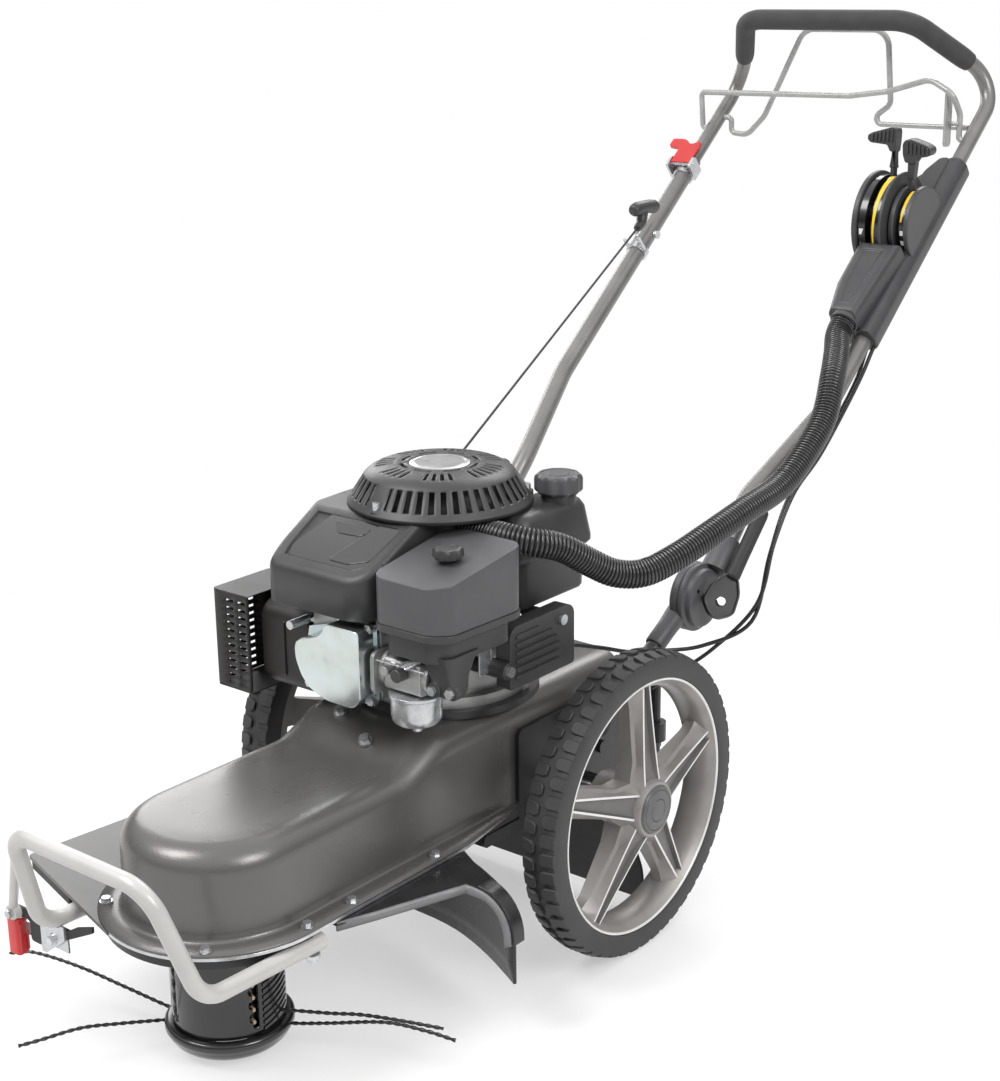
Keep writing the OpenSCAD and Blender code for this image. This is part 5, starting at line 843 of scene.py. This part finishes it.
# Throttle and gear levers. Flat moulded stems that swing in the quadrants, with three-cornered thumb pads
# ribbed across their faces.
pads = {"throttle": [(-37.6, -9), (-37.2, -3), (-30, 0.4), (-4, 7.6), (2.6, 6.6), (3.8, 2), (3.6, -12), (2.6, -23.6), (-4, -23.6), (-9, -15), (-33, -13)],
        "gear": [(29.6, -9), (29, -3), (22, 1.4), (2, 7.6), (-7, 6.6), (-10.6, 1), (-10.2, -12), (-7, -22), (5, -23.6), (10, -16), (26, -13)]}
for name, x, reach, lean in (("throttle", 172, 114, 47), ("gear", 203, 102, 55)):
    lever_seat = tube_seat @ Matrix.Translation((x / 1000, 0.300, 0.026)) @ Matrix.Rotation(math.radians(lean), 4, "X")
    bm = plate([(0, -5), (reach - 14, -4.4), (reach - 14, 4.8), (0, 5)], -2.9, 2.9, "X")
    lean_to = -1 if name == "throttle" else 1
    join(bm, plate([(-4.6, reach - 44), (4.6, reach - 44), (6.4 * lean_to + 2, reach - 12), (6.4 * lean_to - 8 * lean_to - 2, reach - 12)], -5.4, 5.4))
    join(bm, turned([(0, -2.9), (9.6, -2.9), (9.6, 2.9), (0, 2.9)], "X", steps=36))
    pad = plate([(u, reach + v) for u, v in pads[name]], -9, 8)
    round_edges(pad, edges_along(pad, "Z"), 2, 3)
    join(bm, pad)
    for k in range(6):
        u = -31 + 5.6 * k if name == "throttle" else 24 - 5.6 * k
        join(bm, plate([(u, reach - 11), (u + 2.4, reach - 11), (u + 2.4, reach - 1.6 + 1.3 * k), (u, reach - 1.6 + 1.3 * k)], 7.6, 10.4))
    make_piece(name + "_lever_moulding", bm, black_plastic, name, [name + "_lever"], lever_seat, edge=0.9)

# Conduit. A black corrugated hose from the engine to the control cover, pushed over a spigot at each end.
def course(points, steps=8):
    spots = [Vector(p) for p in points]
    spots = [spots[0] * 2 - spots[1]] + spots + [spots[-1] * 2 - spots[-2]]
    path = []
    for a, b, c, d in zip(spots, spots[1:], spots[2:], spots[3:]):
        for k in range(steps):
            t = k / steps
            path.append(0.5 * (2 * b + (c - a) * t + (2 * a - 5 * b + 4 * c - d) * t * t + (3 * b - a - 3 * c + d) * t ** 3))
    return path + [spots[-2]]


def even(path, count):
    ends = [0.0]
    for a, b in zip(path, path[1:]):
        ends.append(ends[-1] + (b - a).length)
    out, k = [], 0
    for m in range(count + 1):
        want = ends[-1] * m / count
        while k < len(path) - 2 and ends[k + 1] < want:
            k += 1
        out.append(path[k].lerp(path[k + 1], (want - ends[k]) / max(ends[k + 1] - ends[k], 1e-9)))
    return out, ends[-1]


def lay_cord(name, bm, material, nodes, bodies):
    bodies = list(bodies)
    piece = make_piece(name, bm, material, None if len(bodies) > 1 else bodies[0], nodes, smooth=60)
    if len(bodies) > 1:
        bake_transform(piece)
    return piece


hose_black = finish("hose_black", (0.036, 0.036, 0.038), (0.027, 0.027, 0.029), 0.24, 0.0, 40, 600, 0.03, 0.35)
hose_line, hose_long = even(course([(58.5, -97, 497), (88, -97, 497), (118, -96, 497), (143, -84, 493), (161, -58, 484), (176, -26, 462), (192, 0, 446), (209, 32, 442), (222, 76, 452), (232, 128, 467), (239, 188, 482), (242.5, 258, 495), (243.3, 308, 519), (240, 364, 556), (226, 408, 596), (204, 456, 619), (188, 488.9, 637.9), (188, 518.2, 662.1)]), 900)
ribs = [(12.4, 14.9, 15.95, 15.95, 14.9)[k % 5] for k in range(len(hose_line))]
lay_cord("conduit", sweep(hose_line, ribs, 28), hose_black, ["conduit_hose"], ("frame", "handle"))

# Control cables. Two black sheathed cables from the control box down the right tube, to the gearbox and the engine.
cable_black = finish("cable_black", (0.022, 0.022, 0.023), (0.014, 0.014, 0.015), 0.36, 0.0, 60, 900, 0.1)
cable_one, long_one = even(course([(218, 526.6, 615.8), (219, 486.4, 574.9), (220, 400, 505), (217, 340, 465), (217, 296, 411), (216, 262, 343), (178, 222, 287), (134, 190, 249), (110, 176, 229)]), 130)
cable_two, long_two = even(course([(207, 529.8, 612.0), (211, 490.3, 570.3), (213, 394, 497), (212, 334, 457), (215, 290, 397), (214.5, 254, 323), (172, 214, 294), (136, 174, 291), (122, 128, 300), (112, 84, 316), (100, 40, 330), (84, -18, 341)]), 160)
lay_cord("gear_cable", sweep(cable_one, 2.5, 14), cable_black, ["control_cables"], ("handle", "frame"))
lay_cord("throttle_cable", sweep(cable_two, 2.5, 14), cable_black, (), ("handle", "frame"))

# Starter rope. A thin braided cord, taut from the starter cover up to its grip.
cord_black = finish("cord_black", (0.030, 0.029, 0.028), (0.018, 0.018, 0.017), 0.62, 0.0, 300, 1800, 0.8)
rope_first = rope_top + rope_line * 10
rope_path, rope_long = even([rope_end, rope_first], 120)
middle = rope_path[72]
lower, upper = rope_path[:73], rope_path[72:]
lay_cord("starter_rope", sweep(lower, 1.5, 12), cord_black, ["recoil_rope"], ("frame", "handle"))
lay_cord("starter_rope_end", sweep(upper, 1.5, 12), cord_black, (), ("handle", "recoil"))

# Cutting lines. Four stiff lengths of thick twisted nylon line pushed out of the head.
line_black = finish("line_black", (0.018, 0.018, 0.019), (0.011, 0.011, 0.012), 0.20, 0.0, 90, 900, 0.1)
line_runs = ([(-49, -450, 27), (-67, -456, 29), (-115, -471, 41), (-170, -488, 54), (-224, -505, 60), (-255.8, -514.4, 52.5)],
             [(-41, -464, 27), (-46, -475, 29), (-68, -518, 37), (-87, -554, 42), (-106, -591, 39), (-116, -611, 38)],
             [(51, -408, 45), (70, -398, 46), (103, -381, 47), (134, -365, 49), (173, -344, 46), (210, -325, 42)],
             [(48, -402, 27), (66, -395, 28), (102, -381, 35), (161, -360, 48), (203, -344, 46), (233, -333, 41)])
for k, spots in enumerate(line_runs):
    line_path, line_long = even(course(spots), 190)
    lay_cord("cutting_line_%d" % (k + 1), sweep(line_path, 2.2, 16, 0.20, line_long / 18), line_black, ["trimmer_lines"] if k == 0 else (), ("head",))

# Stage. A pale floor that runs out into white, two soft boxes and an even white surround.
floor_mesh = bpy.data.meshes.new("floor")
bm = bmesh.new()
bmesh.ops.create_circle(bm, cap_ends=True, radius=40, segments=64)
bm.to_mesh(floor_mesh)
bm.free()
floor = bpy.data.objects.new("floor", floor_mesh)
bpy.context.scene.collection.objects.link(floor)
floor_white = bpy.data.materials.new("floor_white")
floor_white.use_nodes = True
nodes, links = floor_white.node_tree.nodes, floor_white.node_tree.links
nodes.clear()
spot = nodes.new("ShaderNodeTexCoord")
reach = nodes.new("ShaderNodeVectorMath")
reach.operation = "LENGTH"
fade = nodes.new("ShaderNodeMapRange")
fade.interpolation_type = "SMOOTHSTEP"
fade.inputs["From Min"].default_value = 0.35
fade.inputs["From Max"].default_value = 1.25
fade.inputs["To Min"].default_value = 0.45
matte = nodes.new("ShaderNodeBsdfDiffuse")
matte.inputs["Color"].default_value = (0.90, 0.90, 0.90, 1)
glow = nodes.new("ShaderNodeEmission")
glow.inputs["Color"].default_value = (1, 1, 1, 1)
glow.inputs["Strength"].default_value = 1.0
blend = nodes.new("ShaderNodeMixShader")
out = nodes.new("ShaderNodeOutputMaterial")
links.new(spot.outputs["Object"], reach.inputs[0])
links.new(reach.outputs["Value"], fade.inputs["Value"])
links.new(fade.outputs["Result"], blend.inputs["Fac"])
links.new(matte.outputs["BSDF"], blend.inputs[1])
links.new(glow.outputs["Emission"], blend.inputs[2])
links.new(blend.outputs["Shader"], out.inputs["Surface"])
floor_mesh.materials.append(floor_white)

surround = bpy.data.worlds.new("surround")
bpy.context.scene.world = surround
surround.use_nodes = True
nodes, links = surround.node_tree.nodes, surround.node_tree.links
nodes.clear()
path = nodes.new("ShaderNodeLightPath")
seen = nodes.new("ShaderNodeMath")
seen.operation = "MAXIMUM"
shown = nodes.new("ShaderNodeMath")
shown.operation = "MAXIMUM"
soft = nodes.new("ShaderNodeBackground")
soft.inputs["Color"].default_value = (1, 1, 1, 1)
look = nodes.new("ShaderNodeTexCoord")
height = nodes.new("ShaderNodeSeparateXYZ")
dome = nodes.new("ShaderNodeMapRange")
dome.interpolation_type = "SMOOTHSTEP"
dome.inputs["From Min"].default_value = 0.05
dome.inputs["From Max"].default_value = 0.80
dome.inputs["To Min"].default_value = 0.16
dome.inputs["To Max"].default_value = 1.15
links.new(look.outputs["Generated"], height.inputs["Vector"])
links.new(height.outputs["Z"], dome.inputs["Value"])
links.new(dome.outputs["Result"], soft.inputs["Strength"])
white = nodes.new("ShaderNodeBackground")
white.inputs["Color"].default_value = (1, 1, 1, 1)
white.inputs["Strength"].default_value = 1.0
choose = nodes.new("ShaderNodeMixShader")
sky = nodes.new("ShaderNodeOutputWorld")
links.new(path.outputs["Is Camera Ray"], seen.inputs[0])
seen.inputs[1].default_value = 0
links.new(seen.outputs["Value"], shown.inputs[0])
links.new(path.outputs["Is Transmission Ray"], shown.inputs[1])
links.new(shown.outputs["Value"], choose.inputs["Fac"])
links.new(soft.outputs["Background"], choose.inputs[1])
links.new(white.outputs["Background"], choose.inputs[2])
links.new(choose.outputs["Shader"], sky.inputs["Surface"])

for name, place, size, power in (("key_box", (-1.2, -2.2, 3.4), 1.8, 84), ("fill_box", (2.8, -0.6, 2.2), 1.4, 42), ("back_box", (-0.6, 2.4, 2.6), 1.6, 36), ("side_box", (-2.9, 1.5, 1.5), 1.7, 26)):
    lamp = bpy.data.lights.new(name, "AREA")
    lamp.shape = "DISK"
    lamp.size = size
    lamp.energy = power
    box = bpy.data.objects.new(name, lamp)
    box.location = place
    box.rotation_euler = (Vector((0, 0, 0.3)) - Vector(place)).to_track_quat("-Z", "Y").to_euler()
    bpy.context.scene.collection.objects.link(box)

# Camera. Solved from the two wheels, the deck and the handle of the photograph.
lens = bpy.data.cameras.new("camera")
lens.sensor_fit = "HORIZONTAL"
lens.sensor_width = 36
lens.lens = 66.53
lens.shift_x = -0.0018
lens.clip_end = 200
camera = bpy.data.objects.new("camera", lens)
turn, tip, lean = math.radians(39.034), math.radians(17.057), math.radians(-0.663)
back = Vector((math.sin(turn) * math.cos(tip), -math.cos(turn) * math.cos(tip), math.sin(tip)))
level = Vector((math.cos(turn), math.sin(turn), 0))
upright = back.cross(level)
right = level * math.cos(lean) + upright * math.sin(lean)
upward = upright * math.cos(lean) - level * math.sin(lean)
camera.matrix_world = Matrix(((right.x, upward.x, back.x, 1.3121), (right.y, upward.y, back.y, -1.70475), (right.z, upward.z, back.z, 1.0782), (0, 0, 0, 1)))
bpy.context.scene.collection.objects.link(camera)
bpy.context.scene.camera = camera
bpy.context.scene.view_settings.view_transform = "Standard"
